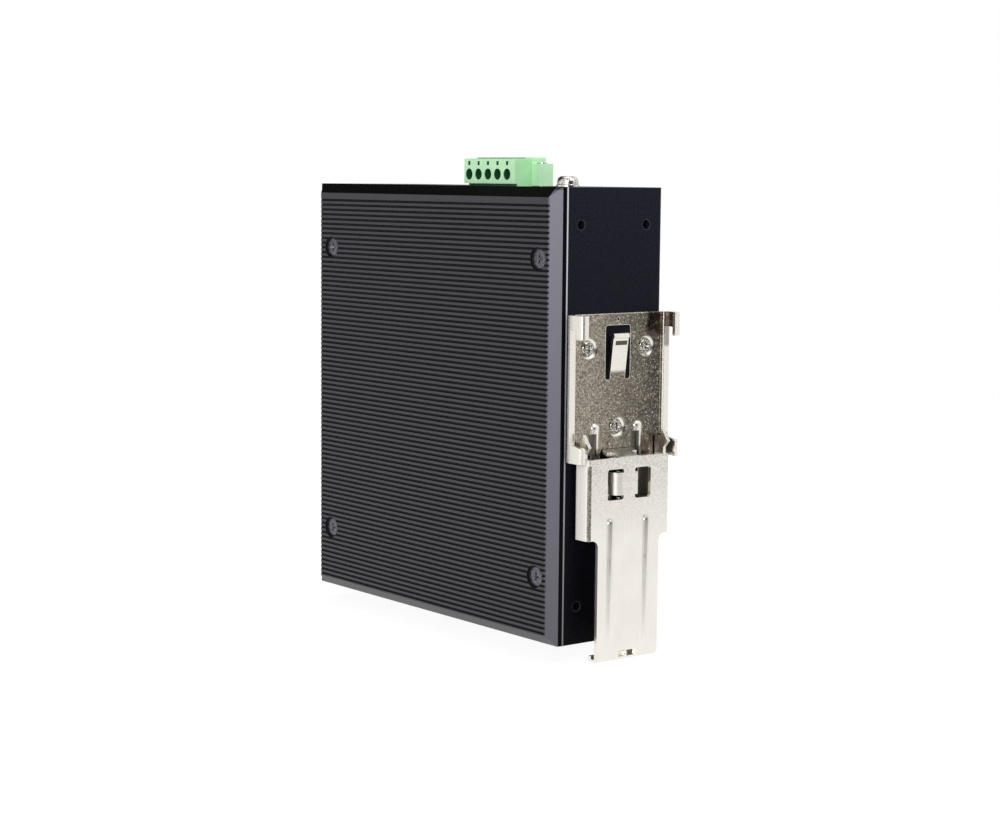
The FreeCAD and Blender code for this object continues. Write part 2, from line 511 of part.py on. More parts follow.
# Clip slider: a folded channel with a pull handle below and two catches above.
def make_clip_slider():
    slider = Piece("clip_slider")
    face, inner = "slider_face", "slider_face - clip_sheet"
    top, shoulder = "-slider_top", "-slider_shoulder"
    rear = "-slider_lip_back"
    lip = "%s + clip_sheet" % rear
    wall = "slider_half - clip_sheet"
    half = [("slider_lip_half", rear), ("slider_half", rear, "slider_bend"),
            ("slider_half", face, "slider_bend")]
    hollow = [(wall, inner, "slider_bend - clip_sheet"), (wall, lip, "slider_bend - clip_sheet"),
              ("slider_lip_half", lip)]
    right = half + mirrored(half) + [(("-(%s)" % c[0]),) + tuple(c[1:]) for c in reversed(hollow)] + hollow
    slider.pad("XY", shoulder, top, [right])
    # the lips stop short of the step in the guide, and the sides step forward there to clear the base
    slider.cut("XY", "-slider_lip_top", top,
               both(rect("slider_lip_half", wall, rear, lip)))
    slider.cut("XY", "-slider_lip_top", top,
               both(rect("slider_lip_half", "slider_half + joggle_r", rear, "-catch_back")))
    wide = "handle_half + shoulder_r + joggle_r"
    right = [("handle_half", "-handle_low + curl_r"), ("handle_half", shoulder, "shoulder_r"),
             (wide, shoulder), (wide, "%s + joggle_r" % shoulder)]
    slider.pad("XZ", inner, face, [right + mirrored(right)])
    curl = "%s - curl_in" % face
    bottom = "-handle_low"
    hook = [(face, "%s + curl_r * 2" % bottom), (face, bottom, "curl_r"), (curl, bottom, "curl_r - joggle_r"),
            (curl, "%s + curl_up" % bottom), ("%s + clip_sheet" % curl, "%s + curl_up" % bottom),
            ("%s + clip_sheet" % curl, "%s + clip_sheet" % bottom), (inner, "%s + clip_sheet" % bottom),
            (inner, "%s + curl_r * 2" % bottom)]
    slider.pad("YZ", "-handle_half", "handle_half", [hook])
    inset = "handle_half - handle_corner_r - joggle_r"
    corner = [(inset, "%s - joggle_r" % bottom), ("handle_half + joggle_r", "%s - joggle_r" % bottom),
              ("handle_half + joggle_r", "%s + handle_corner_r + joggle_r" % bottom),
              ("handle_half", "%s + handle_corner_r + joggle_r" % bottom),
              ("handle_half", bottom, "handle_corner_r"), (inset, bottom)]
    slider.cut("XZ", curl, face, both(corner))
    # windows whose inner flaps keep the spring in line: one is curled back, the other folded square
    slider.cut("XZ", inner, face,
               both(rect("flap_in", "flap_out", "-flap_low", "-flap_high", "flap_corner_r")))
    side = "flap_in + flap_curl_r"
    curled = [("flap_in - joggle_r", face), (side, face, "flap_curl_r"), (side, "flap_reach"),
              ("%s - clip_sheet" % side, "flap_reach"),
              ("%s - clip_sheet" % side, inner, "flap_curl_r - clip_sheet"), ("flap_in - joggle_r", inner)]
    square = rect("-flap_in - clip_sheet", "-flap_in", "flap_reach", face)
    slider.pad("XY", "-flap_low + flap_relief", "-flap_high - flap_relief", [curled, square])
    slider.cut("XZ", "%s - curl_r" % face, face,
               [rect("-pull_slot_half", "pull_slot_half", "-pull_slot_high - pull_slot_tall",
                     "-pull_slot_high")])
    for x in ("rib_x", "-rib_x"):
        emboss(slider, x, face, inner, "-rib_top", "-rib_end", "rib_r", "rib_r - rib_proud", "rib_proud")
    catch = [("-catch_back", "%s - clip_sheet" % top), ("-catch_back", "-catch_root"),
             ("catch_mid", "-catch_root"), ("catch_nose", "-catch_tip"), (face, "-catch_brow"),
             ("catch_neck", "-catch_chin"), ("catch_neck", "%s - clip_sheet" % top)]
    slider.pad("YZ", wall, "slider_half", [catch])
    slider.pad("YZ", "-slider_half", "-(%s)" % wall, [catch])
    # the tab at the top edge is folded back over the spring, and widens where the spring pushes
    tip = "-seat_tab_back"
    tab = [(face, "%s - clip_sheet" % top), (face, top, "clip_sheet"),
           (tip, "%s + seat_tab_rise" % top), (tip, "%s + seat_tab_rise - clip_sheet" % top),
           (inner, "%s - clip_sheet" % top)]
    slider.pad("YZ", "-seat_tab_half", "seat_tab_half", [tab])
    fall = "seat_tab_rise * seat_tab_end / (slider_face + seat_tab_back)"
    wing = [(tip, "%s + seat_tab_rise" % top), (tip, "%s + seat_tab_rise - clip_sheet" % top),
            ("%s + seat_tab_end" % tip, "%s + seat_tab_rise - clip_sheet - %s" % (top, fall)),
            ("%s + seat_tab_end" % tip, "%s + seat_tab_rise - %s" % (top, fall))]
    slider.pad("YZ", "-seat_tab_end_half", "seat_tab_end_half", [wing])
    slider.done()


def make_spring():
    """Return spring: a helix between the guide's peg and the slider's tab."""
    low = number("-spring_slot_low")
    high = number("-slider_top")
    wire = number("spring_wire")
    tall = high - low - 2 * wire
    helix = Part.makeHelix(tall / number("spring_turns"), tall, number("spring_r"))
    corners = [FreeCAD.Vector(number("spring_r") + wire / 2 * math.cos(math.radians(60 * i)), 0,
                              wire / 2 * math.sin(math.radians(60 * i))) for i in range(7)]
    coil = Part.Wire(helix).makePipeShell([Part.makePolygon(corners)], True, True)
    spring = doc.addObject("Part::Feature", "clip_spring")
    spring.Shape = coil
    middle = number("%s + guide_gap + clip_sheet / 2" % BACK)
    spring.Placement.Base = FreeCAD.Vector(0, middle, low + wire)
    keep("clip_spring", spring)


POLES = [from_back("pole_first + pole_pitch * %d" % i) for i in range(5)]


# Plug: five poles with screw clamps, wires entering from the right, locked down by its ears.
def make_plug():
    plug = Piece("terminal_plug")
    lift, high = "%s + plug_lift" % TOP, "%s + plug_high" % TOP
    near, far = from_back("plug_near"), from_back("plug_far")
    base, ridge = "%s - plug_low" % TOP, "%s + ridge_high" % TOP
    section = [(from_right("plug_back"), base), (from_right("key_x"), base), (from_right("key_x"), lift),
               (from_right("plug_face"), lift), (from_right("plug_face"), high, "plug_round"),
               (from_right("ridge_x"), high), (from_right("ridge_x"), ridge),
               (from_right("plug_back"), ridge)]
    plug.pad("XZ", far, near, [section])
    ear_top, ear_low = "%s + ear_high" % TOP, "%s + ear_lift" % TOP
    for end, tip, way in ((near, from_back("ear_near"), "-"), (far, from_back("ear_far"), "+")):
        ear = [("%s %s joggle_r" % (end, way), ear_low), (tip, ear_low), (tip, ear_top),
               (end, ear_top, "ear_fillet"), (end, "%s + ear_fillet + joggle_r / 2" % ear_top),
               ("%s %s joggle_r" % (end, way), "%s + ear_fillet + joggle_r / 2" % ear_top)]
        plug.pad("YZ", from_right("plug_back"), from_right("ear_x"), [ear])
    holes = [(y, "%s + wire_hole_high" % TOP, "wire_hole_r") for y in POLES]
    plug.cut("YZ", from_right("plug_face + wire_hole_deep"), from_right("plug_face"), circles=holes)
    test_low, test_high = ("%s + test_hole_high %s test_hole_half" % (TOP, way) for way in "-+")
    squares = [rect("%s - test_hole_half" % y, "%s + test_hole_half" % y, test_low, test_high)
               for y in POLES]
    plug.cut("YZ", from_right("plug_face + test_hole_deep"), from_right("plug_face"), squares)
    x0 = from_right("plug_face + wire_hole_deep + cage_long + cage_gap * 2")
    x1 = from_right("plug_face + wire_hole_deep")
    cells = [rect(x0, x1, "%s - cage_half - cage_gap" % y, "%s + cage_half + cage_gap" % y) for y in POLES]
    plug.cut("XY", "%s + cage_low - cage_gap" % TOP, "%s + cage_high + cage_gap" % TOP, cells)
    middle = from_right("plug_face + wire_hole_deep + cage_gap + cage_long / 2")
    plug.cut("XY", "%s + cage_high" % TOP, high, circles=[(middle, y, "clamp_well_r") for y in POLES])
    lock_x, lock_seat = from_right("(ear_x + plug_back) / 2"), "%s - lock_sink" % ear_top
    plug.cut("XY", ear_low, lock_seat, circles=[(lock_x, y, "lock_screw_r + screw_gap") for y in LOCKS])
    plug.cut("XY", lock_seat, "%s + ear_fillet" % ear_top,
             circles=[(lock_x, y, "lock_head_r + cage_gap") for y in LOCKS])
    plug.done()
    cages, screws = [], []
    for i, y in enumerate(POLES):
        cage = Piece("wire_clamp%d" % i)
        cage.pad("YZ", from_right("plug_face + wire_hole_deep + cage_gap + cage_long"),
                 from_right("plug_face + wire_hole_deep + cage_gap"),
                 [rect("%s - cage_half" % y, "%s + cage_half" % y, "%s + cage_low" % TOP,
                       "%s + cage_high" % TOP)],
                 [(y, "%s + wire_hole_high" % TOP, "cage_hole_r")])
        cages.append(cage.body)
        head = Piece("clamp_screw%d" % i)
        head.pad("XY", "%s + cage_high" % TOP, "%s + clamp_screw_top" % TOP,
                 circles=[(middle, y, "clamp_screw_r")])
        head.cut("XY", "%s + clamp_screw_top - cross_deep" % TOP, "%s + clamp_screw_top" % TOP,
                 [rect("%s - clamp_screw_r" % middle, "%s + clamp_screw_r" % middle,
                       "%s - slot_half" % y, "%s + slot_half" % y)])
        screws.append(head.body)
    group("wire_clamps", cages)
    group("clamp_screws", screws)
    locks = []
    for i, y in enumerate(LOCKS):
        lock = Piece("lock_screw%d" % i)
        end = "lock_sink - ear_high - lock_deep"
        loop = [("0", "lock_head"), ("lock_head_r", "lock_head"), ("lock_head_r", "0"), ("lock_screw_r", "0"),
                ("lock_screw_r", end), ("0", end)]
        lock.revolve("Revolution", (lock_x, y, lock_seat), "Z", loop)
        slot = rect("%s - lock_head_r" % lock_x, "%s + lock_head_r" % lock_x, "%s - slot_half" % y,
                    "%s + slot_half" % y)
        lock.cut("XY", "%s + lock_head - cross_deep" % lock_seat, "%s + lock_head" % lock_seat, [slot])
        locks.append(lock.body)
    group("flange_screws", locks)


LOCKS = [from_back("(ear_near + plug_near) / 2"), from_back("(ear_far + plug_far) / 2")]


def make_header():
    """Shrouded header on the board, open upwards for the plug."""
    header = Piece("terminal_header")
    top = "%s - header_sink" % TOP
    x0, x1 = from_right("plug_back + header_wall"), BOARD_FACE
    lock_x = from_right("(ear_x + plug_back) / 2")
    header.pad("XY", "%s - header_deep" % TOP, top,
               [rect(x0, x1, from_back("ear_far + header_end"), from_back("ear_near - header_end"))])
    header.cut("XY", "%s - header_floor" % TOP, top,
               [rect("%s - panel_gap" % from_right("plug_back"), "%s + panel_gap" % from_right("key_x"),
                     "%s - panel_gap" % from_back("plug_far"), "%s + panel_gap" % from_back("plug_near"))])
    header.cut("XY", "%s - lock_deep - clip_sheet" % TOP, top,
               circles=[(lock_x, y, "lock_screw_r + screw_gap") for y in LOCKS])
    slots = [rect("%s - pin_half" % y, "%s + pin_half" % y,
                  "%s - header_deep + pin_drop - pin_half" % TOP, "%s - header_floor" % TOP) for y in POLES]
    header.cut("YZ", from_right("pin_x + pin_half"), BOARD_FACE, slots)
    header.done()
    pins = []
    for i, y in enumerate(POLES):
        pin = Piece("header_pin%d" % i)
        foot = "%s - header_deep + pin_drop" % TOP
        x = from_right("pin_x")
        pin.pad("XZ", "%s - pin_half" % y, "%s + pin_half" % y,
                [[("%s - pin_half" % x, "%s - pin_half" % foot), (BOARD_FACE, "%s - pin_half" % foot),
                  (BOARD_FACE, "%s + pin_half" % foot), ("%s + pin_half" % x, "%s + pin_half" % foot),
                  ("%s + pin_half" % x, "%s - plug_low" % TOP),
                  ("%s - pin_half" % x, "%s - plug_low" % TOP)]])
        pins.append(pin.body)
    group("header_pins", pins)


def make_ground():
    x, y = from_right("ground_x"), from_back("ground_y")
    washer = Piece("ground_washer")
    washer.pad("XY", TOP, "%s + ground_washer_thick" % TOP,
               circles=[(x, y, "ground_washer_r"), (x, y, LOOSE)])
    washer.done()
    body = screw("ground_screw", "Z", 1, x, y, "%s + ground_washer_thick" % TOP, "ground_head_r",
                 "ground_head", "ground_length")
    keep("ground_screw", body)


def make_board():
    """Circuit board hung from the cover on four spacers, and the larger things soldered to it."""
    near, far = "%s - board_gap" % RIGHT, BOARD_FACE
    board = Piece("circuit_board")
    board.pad("YZ", far, near, [rect("%s + board_front" % FRONT, from_back("board_back"),
                                     "%s + board_edge" % BOTTOM, "%s - board_edge" % TOP)],
              [(y, z, "board_hole_r") for y, z in SPACERS])
    board.done()
    spacers, screws = [], []
    for i, (y, z) in enumerate(SPACERS):
        spacer = Piece("board_spacer%d" % i)
        spacer.pad("YZ", near, RIGHT, circles=[(y, z, "spacer_r"), (y, z, LOOSE)])
        spacers.append(spacer.body)
        screws.append(screw("board_screw%d" % i, "X", -1, far, y, z, "board_head_r", "board_head",
                            "board_thick + board_gap - screw_gap"))
    group("board_spacers", spacers)
    group("board_screws", screws)
    chip_y, chip_z = from_back("chip_y"), from_bottom("chip_z")
    chip = Piece("switch_chip")
    chip.pad("YZ", near, "%s + chip_thick" % near,
             [rect("%s - chip_side / 2" % chip_y, "%s + chip_side / 2" % chip_y,
                   "%s - chip_side / 2" % chip_z, "%s + chip_side / 2" % chip_z)])
    chip.done()
    pad = Piece("thermal_pad")
    pad.pad("YZ", "%s + chip_thick" % near, RIGHT,
            [rect("%s - (chip_side / 2 - pad_edge)" % chip_y, "%s + chip_side / 2 - pad_edge" % chip_y,
                  "%s - (chip_side / 2 - pad_edge)" % chip_z, "%s + chip_side / 2 - pad_edge" % chip_z)])
    pad.done()
    modules = []
    for i in range(4):
        z = "%s + jack_pitch * %d - jack_pitch / 2" % (from_bottom("jack_high"), i - 1)
        y = from_back("magnetic_y")
        module = Piece("magnetic%d" % i)
        module.pad("YZ", "%s - magnetic_tall" % far, far,
                   [rect("%s - magnetic_wide / 2" % y, "%s + magnetic_wide / 2" % y,
                         "%s - magnetic_long / 2" % z, "%s + magnetic_long / 2" % z)])
        modules.append(module.body)
    group("magnetics", modules)
    cans = []
    for i in range(3):
        z = from_bottom("capacitor_z - capacitor_pitch * %d" % i)
        can = Piece("capacitor%d" % i)
        can.pad("YZ", "%s - capacitor_tall" % far, far,
                circles=[(from_back("capacitor_y"), z, "capacitor_r")])
        cans.append(can.body)
    group("capacitors", cans)
    for name, y, z, long, wide, tall in (
            ("inductor", "inductor_y", from_bottom("inductor_z"), "inductor_side", "inductor_side",
             "inductor_tall"),
            ("relay", "relay_y", from_top("relay_top"), "relay_long", "relay_wide", "relay_tall")):
        y = from_back(y)
        keep(name, plain_box(name, "%s - %s" % (far, tall), far, "%s - %s / 2" % (y, long),
                             "%s + %s / 2" % (y, long), "%s - %s / 2" % (z, wide), "%s + %s / 2" % (z, wide)))


def make_jacks():
    """Eight sockets in one housing, two deep from the board and four high, in a metal shell."""
    face, end = "%s - jack_proud" % FRONT, "%s - jack_proud + jack_depth" % FRONT
    x0, x1 = "%s - jack_block_x" % BOARD_FACE, BOARD_FACE
    middle = from_bottom("jack_high")
    tall = "(jack_rows * jack_pitch / 2 + jack_wall)"
    z0, z1 = "%s - %s" % (middle, tall), "%s + %s" % (middle, tall)
    inset = "(shell_thick + shell_gap)"
    jacks = Piece("jack_block")
    jacks.pad("XZ", "%s + %s" % (face, inset), "%s - %s" % (end, inset),
              [rect("%s + %s" % (x0, inset), x1, "%s + %s" % (z0, inset), "%s - %s" % (z1, inset))])
    sockets, notches, spots = [], [], []
    for column in range(2):
        x = "%s - jack_first_x - jack_apart * %d" % (BOARD_FACE, column)
        for row in range(int(number("jack_rows"))):
            z = "%s + jack_pitch * (%d - (jack_rows - 1) / 2)" % (middle, row)
            spots.append((x, z, column))
            sockets.append(rect("%s - socket_half_x" % x, "%s + socket_half_x" % x, "%s - socket_half_z" % z,
                                "%s + socket_half_z" % z))
            side = -1 if column else 1
            edge = "%s + %d * socket_half_x" % (x, side)
            tip = "%s + %d * latch_deep" % (edge, side)
            low, high = (tip, edge) if column else (edge, tip)
            notches.append(rect(low, high, "%s - latch_half" % z, "%s + latch_half" % z))
    front = "%s + %s" % (face, inset)
    jacks.cut("XZ", front, "%s + socket_deep" % front, sockets)
    jacks.cut("XZ", front, "%s + socket_deep" % front, notches)
    jacks.done()
    shell = Piece("jack_shell")
    shell.pad("XZ", face, end, [rect(x0, x1, z0, z1)])
    shell.cut("XZ", "%s + shell_thick" % face, "%s - shell_thick" % end,
              [rect("%s + shell_thick" % x0, x1, "%s + shell_thick" % z0, "%s - shell_thick" % z1)])
    shell.cut("XZ", face, "%s + shell_thick" % face, sockets)
    shell.cut("XZ", face, "%s + shell_thick" % face, notches)
    shell.done()
    bars = []
    for i, (x, z, column) in enumerate(spots):
        side = 1 if column else -1
        root = "%s + %d * socket_half_x" % (x, side)
        inner = "%s - %d * contact_thick" % (root, side)
        low, high = (inner, root) if column else (root, inner)
        y0 = "%s + socket_deep - contact_long" % front
        for j in range(8):
            at = "%s + contact_pitch * %.1f" % (z, j - 3.5)
            bars.append(plain_box("contact%d_%d" % (i, j), low, high, y0, "%s + contact_long" % y0,
                                  "%s - contact_half" % at, "%s + contact_half" % at))
    group("jack_contacts", bars)
    return [rect("%s - panel_gap" % x0, x1 + " + panel_gap", "%s - panel_gap" % z0, "%s + panel_gap" % z1)]


def make_front(windows):
    """Flat front panel, its screws, and the lights that shine through it."""
    panel = Piece("front_panel")
    lights = [("%s - (light_x - board_gap - board_thick)" % BOARD_FACE,
               from_bottom("light_high - light_pitch * %d" % i)) for i in range(5)]
    rings = [(x, z, "light_r + screw_gap") for x, z in lights]
    rings += [(x, z, LOOSE) for x, z in PANEL_SCREWS]
    panel.pad("XZ", FRONT, "%s + case_wall" % FRONT, [rect(LEFT, RIGHT, BOTTOM, TOP)] + windows, rings)
    panel.done()
    screws = [screw("front_panel_screw%d" % i, "Y", -1, x, FRONT, z, "panel_head_r", "panel_head",
                    "case_wall * 4") for i, (x, z) in enumerate(PANEL_SCREWS)]
    group("front_panel_screws", screws)
    pipes, leds = [], []
    for i, (x, z) in enumerate(lights):
        end = "%s + light_back" % FRONT
        pipe = Piece("light_pipe%d" % i)
        pipe.pad("XZ", "%s - light_proud" % FRONT, end, circles=[(x, z, "light_r")])
        pipe.pad("YZ", x, "%s - led_tall" % BOARD_FACE,
                 [rect("%s - light_r * 2" % end, end, "%s - light_r" % z, "%s + light_r" % z)])
        pipes.append(pipe.body)
        led = Piece("indicator_led%d" % i)
        led.pad("YZ", "%s - led_tall" % BOARD_FACE, BOARD_FACE,
                [rect("%s - light_r - led_half" % end, "%s - light_r + led_half" % end, "%s - led_half" % z,
                      "%s + led_half" % z)])
        leds.append(led.body)
    group("light_pipes", pipes)
    group("indicator_leds", leds)


make_case()
make_cover()
make_clip_base()
make_clip_slider()
make_spring()
make_plug()
make_header()
make_ground()
make_board()
make_front(make_jacks())
doc.recompute()

faults = ["%s: %s" % (thing.Label, thing.State) for thing in doc.Objects
          if "Invalid" in thing.State or "Error" in thing.State]
for part in parts:
    if part.Shape.isNull() or not part.Shape.isValid():
        faults.append(part.Label + ": shape is null or not valid")
if faults:
    raise RuntimeError("; ".join(faults))
os.makedirs("parts", exist_ok=True)
for part in parts:
    part.Shape.exportStep(os.path.join("parts", part.Label + ".step"))
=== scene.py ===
import json
import math

import bmesh
import bpy
from bpy.props import FloatProperty, FloatVectorProperty, IntProperty, PointerProperty
from mathutils import Matrix, Vector

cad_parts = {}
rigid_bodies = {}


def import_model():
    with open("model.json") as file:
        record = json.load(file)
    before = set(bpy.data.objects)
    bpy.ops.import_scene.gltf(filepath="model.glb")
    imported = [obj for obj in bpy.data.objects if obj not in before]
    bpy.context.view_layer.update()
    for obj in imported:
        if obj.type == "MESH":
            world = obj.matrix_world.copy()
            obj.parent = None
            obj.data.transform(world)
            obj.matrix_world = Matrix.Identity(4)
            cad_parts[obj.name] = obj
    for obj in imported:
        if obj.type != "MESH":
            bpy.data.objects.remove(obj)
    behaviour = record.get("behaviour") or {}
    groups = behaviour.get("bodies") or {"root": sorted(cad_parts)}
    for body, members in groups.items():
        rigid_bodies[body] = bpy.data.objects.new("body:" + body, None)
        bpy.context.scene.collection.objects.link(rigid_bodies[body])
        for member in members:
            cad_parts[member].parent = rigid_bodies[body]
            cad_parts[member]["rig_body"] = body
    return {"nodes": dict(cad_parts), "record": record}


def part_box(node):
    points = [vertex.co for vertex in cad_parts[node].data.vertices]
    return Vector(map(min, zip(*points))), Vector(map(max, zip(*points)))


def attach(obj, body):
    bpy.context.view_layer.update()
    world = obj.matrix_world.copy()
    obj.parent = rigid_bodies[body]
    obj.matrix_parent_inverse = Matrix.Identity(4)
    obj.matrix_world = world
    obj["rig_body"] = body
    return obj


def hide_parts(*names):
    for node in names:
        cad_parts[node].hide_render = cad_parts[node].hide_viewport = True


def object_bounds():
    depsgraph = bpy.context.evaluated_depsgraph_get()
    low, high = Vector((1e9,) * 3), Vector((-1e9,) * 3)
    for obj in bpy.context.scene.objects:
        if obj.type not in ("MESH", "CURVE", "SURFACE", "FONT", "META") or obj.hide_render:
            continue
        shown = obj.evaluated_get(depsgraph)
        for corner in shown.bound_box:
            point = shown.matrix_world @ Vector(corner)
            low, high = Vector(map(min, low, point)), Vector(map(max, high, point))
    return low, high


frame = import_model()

bl_info = {
    "name": "DIN Rail Network Switch",
    "version": (1, 0, 0),
    "blender": (4, 5, 0),
    "location": "View3D > Sidebar > Rail Switch",
    "description": "Dresses a rail-mounted network switch: coated case, ribbed cover, plated clip and plug",
    "category": "Object",
}

CAD_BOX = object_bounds()
MM = 0.001


def in_mm(box):
    """A box's low and high corner, in millimetres."""
    return tuple(tuple(value / MM for value in corner) for corner in box)


# Sizes in millimetres, and angles in degrees.
SCREW_RADIUS = 1.5
RECESS_RADIUS, RECESS_SIDE, HEAD_DEPTH, HOLE_RADIUS = 3.7, 0.75, 1.8, 1.55
BEAD_AT, RIB_AT = 9.05, 7.6
CLIP_SHEET = 1.2
MERGE = 0.002
SMOOTH = 24.0
CASE_SIDE, CASE_BACK = in_mm(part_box("case_shell"))[1][:2]
WEB_FACE = in_mm(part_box("clip_base"))[0][1] + CLIP_SHEET
SLIDER_SIDE, SLIDER_FACE = in_mm(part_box("clip_slider"))[1][:2]
COVER_LOW, COVER_HIGH = in_mm(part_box("ribbed_cover"))
COVER_THICK = COVER_HIGH[0] - COVER_LOW[0]
PLUG_LOW, PLUG_HIGH = in_mm(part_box("terminal_plug"))

# Tones painted by place, each a box given by two corners: painted shade, painted highlights and
# painted reflections, and a darker band along the slider's fold. No shape makes them: they suit this
# part alone.
FAR = 99
CASE_SEAM_SHADE = ((CASE_SIDE - 1.3, CASE_BACK - 2.0, -FAR), (CASE_SIDE + 0.1, CASE_BACK + 0.1, FAR))
CASE_BEND_HIGHLIGHT = ((CASE_SIDE - 2.15, CASE_BACK - 0.6, -FAR), (CASE_SIDE - 1.75, CASE_BACK + 0.1, FAR))
COVER_GROOVE_SHADE = ((COVER_LOW[0], COVER_LOW[1] + COVER_THICK - 0.3, COVER_LOW[2] + COVER_THICK),
                 (COVER_HIGH[0] - 0.25, COVER_HIGH[1] - COVER_THICK + 0.3, COVER_HIGH[2] - COVER_THICK))
COVER_REAR_HIGHLIGHT = ((COVER_LOW[0], COVER_HIGH[1] - COVER_THICK + 0.2, COVER_LOW[2]),
              (COVER_HIGH[0] + 1, COVER_HIGH[1] + 1, COVER_HIGH[2] - 1))
COVER_TOP_SHADE = ((COVER_LOW[0], COVER_LOW[1], COVER_HIGH[2] - COVER_THICK + 0.1),
             (COVER_HIGH[0] - 0.1, COVER_HIGH[1] - COVER_THICK, COVER_HIGH[2] + 1))
WEB_TAB_HIGHLIGHT = ((-9, -9, -30), (0.5, 3, -22.9))
BEAD_SHADES = tuple(((x + 0.3, -2, -24), (x + 2.6, 0, -15.8)) for x in (BEAD_AT, -BEAD_AT))
TONGUE_SLOT_SHADE = ((-2.7, WEB_FACE + 0.3, 12.5), (2.1, 9, 13.8))
BROWN_REFLECTIONS = (((-18, -3, 15.5), (-13, WEB_FACE + 0.2, 21.6)), ((-21, -3, -24.5), (-10.8, 0, -17.8)),
               ((-20.4, 0.3, 12), (-19.3, 4.3, 22.6)), ((1, -3, -24.2), (9, 0, -22.6)))
SLIDER_FOLD = ((SLIDER_SIDE - 1.3, SLIDER_FACE - 2.0, -49), (SLIDER_SIDE - 0.1, SLIDER_FACE + 1, -25))
SLIDER_FLANGE_HIGHLIGHT = ((SLIDER_SIDE - 0.12, -9, -60), (SLIDER_SIDE + 1, SLIDER_FACE - 1.2, -20))
RIB_SHADES = tuple(((x + 0.25, SLIDER_FACE - 1, -84), (x + 1.3, SLIDER_FACE + 2, -42.6))
                   for x in (RIB_AT, -RIB_AT))
PLUG_ENTRY_SHADE = ((PLUG_LOW[0] + 1.5, PLUG_LOW[1] + 4, PLUG_LOW[2] + 1),
                (PLUG_HIGH[0] - 0.35, PLUG_HIGH[1] - 4.5, PLUG_HIGH[2] - 0.6))
PLUG_ROOT = ((0, PLUG_HIGH[1] - 7.8, 0), (PLUG_HIGH[0] - 1.2, PLUG_HIGH[1] - 4.2, PLUG_HIGH[2] - 1))

# Screws: node, axis, end of the axis with the head, head height, recess depth and countersunk or not.
SCREWS = (("cover_screws", 0, 1, 0.9, 1.0, True), ("clip_screws", 1, 1, 0.7, 0.6, False),
          ("front_panel_screws", 1, -1, 1.7, 1.0, False), ("board_screws", 0, -1, 1.8, 1.0, False),
          ("ground_screw", 2, 1, 2.7, 1.3, False))

# Stage, in metres and degrees: lamps as name, place, aim, width, height and share of the main power.
MIDDLE = (0.0, -0.05, 0.0)
LAMPS = (("main", (0.98, 0.72, 0.26), MIDDLE, 0.5, 0.4, 1.0),
         ("rear", (-0.02, 0.13, 0.2), (0.0, 0.0, 0.06), 0.1, 0.1, 0.02),
         ("top", (-0.1, -0.3, 1.0), MIDDLE, 0.6, 0.6, 0.35))
# Dark flags that only glossy rays see: direction, inner and outer half angle, and the share of light.
FLAGS = (((0.1, -0.75, 0.65), 28, 52, 0.04), ((0.17, 0.98, -0.05), 20, 38, 0.05))
FLOOR_RADIUS, FLOOR_GAP = 0.9, 0.2 * MM
CAMERA_PLACE = (0.44657, 0.50926, 0.0658)
HEADING, DIP, ROLL_RADIANS = 142.0, 6.294, 0.00928664
SENSOR, FOCAL_SHARE = 36.0, 2.12095


# ---------------------------------------------------------------- colours, nodes and meshes

def linear(code):
    """A hex colour as it is written for a screen, turned to the linear values that shaders take."""
    parts = [int(code[i:i + 2], 16) / 255 for i in (1, 3, 5)]
    return [c / 12.92 if c <= 0.04045 else ((c + 0.055) / 1.055) ** 2.4 for c in parts] + [1.0]


def shade(colour, times):
    """A linear colour made darker or lighter."""
    return [min(1.0, c * times) for c in colour[:3]] + [1.0]


def node(tree, kind, inputs=None, **settings):
    """Adds a node, sets what it is told to, and fills or links its sockets by name or number."""
    made = tree.nodes.new(kind)
    for key, value in settings.items():
        setattr(made, key, value)
    for key, value in (inputs or {}).items():
        socket = made.inputs[key]
        if isinstance(value, bpy.types.NodeSocket):
            tree.links.new(value, socket)
        else:
            socket.default_value = value
    return made


def maths(tree, operation, *values):
    """The result of a math node on numbers or sockets."""
    return node(tree, "ShaderNodeMath", dict(enumerate(values)), operation=operation).outputs[0]


def plus(tree, a, b):
    return maths(tree, "ADD", a, b)


def minus(tree, a, b):
    return maths(tree, "SUBTRACT", a, b)


def scaled(tree, a, b):
    return maths(tree, "MULTIPLY", a, b)


def ramp(tree, factor, stops):
    """A colour ramp; stops are (position, linear colour)."""
    made = node(tree, "ShaderNodeValToRGB", {"Fac": factor})
    elements = made.color_ramp.elements
    while len(elements) < len(stops):
        elements.new(0.5)
    for element, (position, colour) in zip(elements, stops):
        element.position = position
        element.color = colour
    return made.outputs["Color"]


def grain(tree, size_mm, stretch=(1, 1, 1), detail=2.0, roughness=0.5):
    """Noise whose lumps are about size_mm across, read from the object's own coordinates."""
    where = node(tree, "ShaderNodeTexCoord").outputs["Object"]
    mapped = node(tree, "ShaderNodeMapping", {"Vector": where, "Scale": stretch})
    noise = node(tree, "ShaderNodeTexNoise", {
        "Vector": mapped.outputs["Vector"], "Scale": 1 / (size_mm * MM), "Detail": detail,
        "Roughness": roughness})
    return noise.outputs["Fac"]


def bump(tree, height, depth_mm, strength):
    inputs = {"Height": height, "Distance": depth_mm * MM, "Strength": strength}
    return node(tree, "ShaderNodeBump", inputs).outputs["Normal"]


def material(name, build, look):
    """A new material whose shader is set up by build(tree, look), which returns Principled's inputs."""
    made = bpy.data.materials.new(name)
    made.use_nodes = True
    tree = made.node_tree
    tree.nodes.clear()
    shader = node(tree, "ShaderNodeBsdfPrincipled", build(tree, look))
    node(tree, "ShaderNodeOutputMaterial", {"Surface": shader.outputs["BSDF"]})
    return made


def between(tree, source, low, high):
    """A factor spread from 0..1 to low..high."""
    values = {"Value": source, "To Min": low, "To Max": high}
    return node(tree, "ShaderNodeMapRange", values).outputs["Result"]


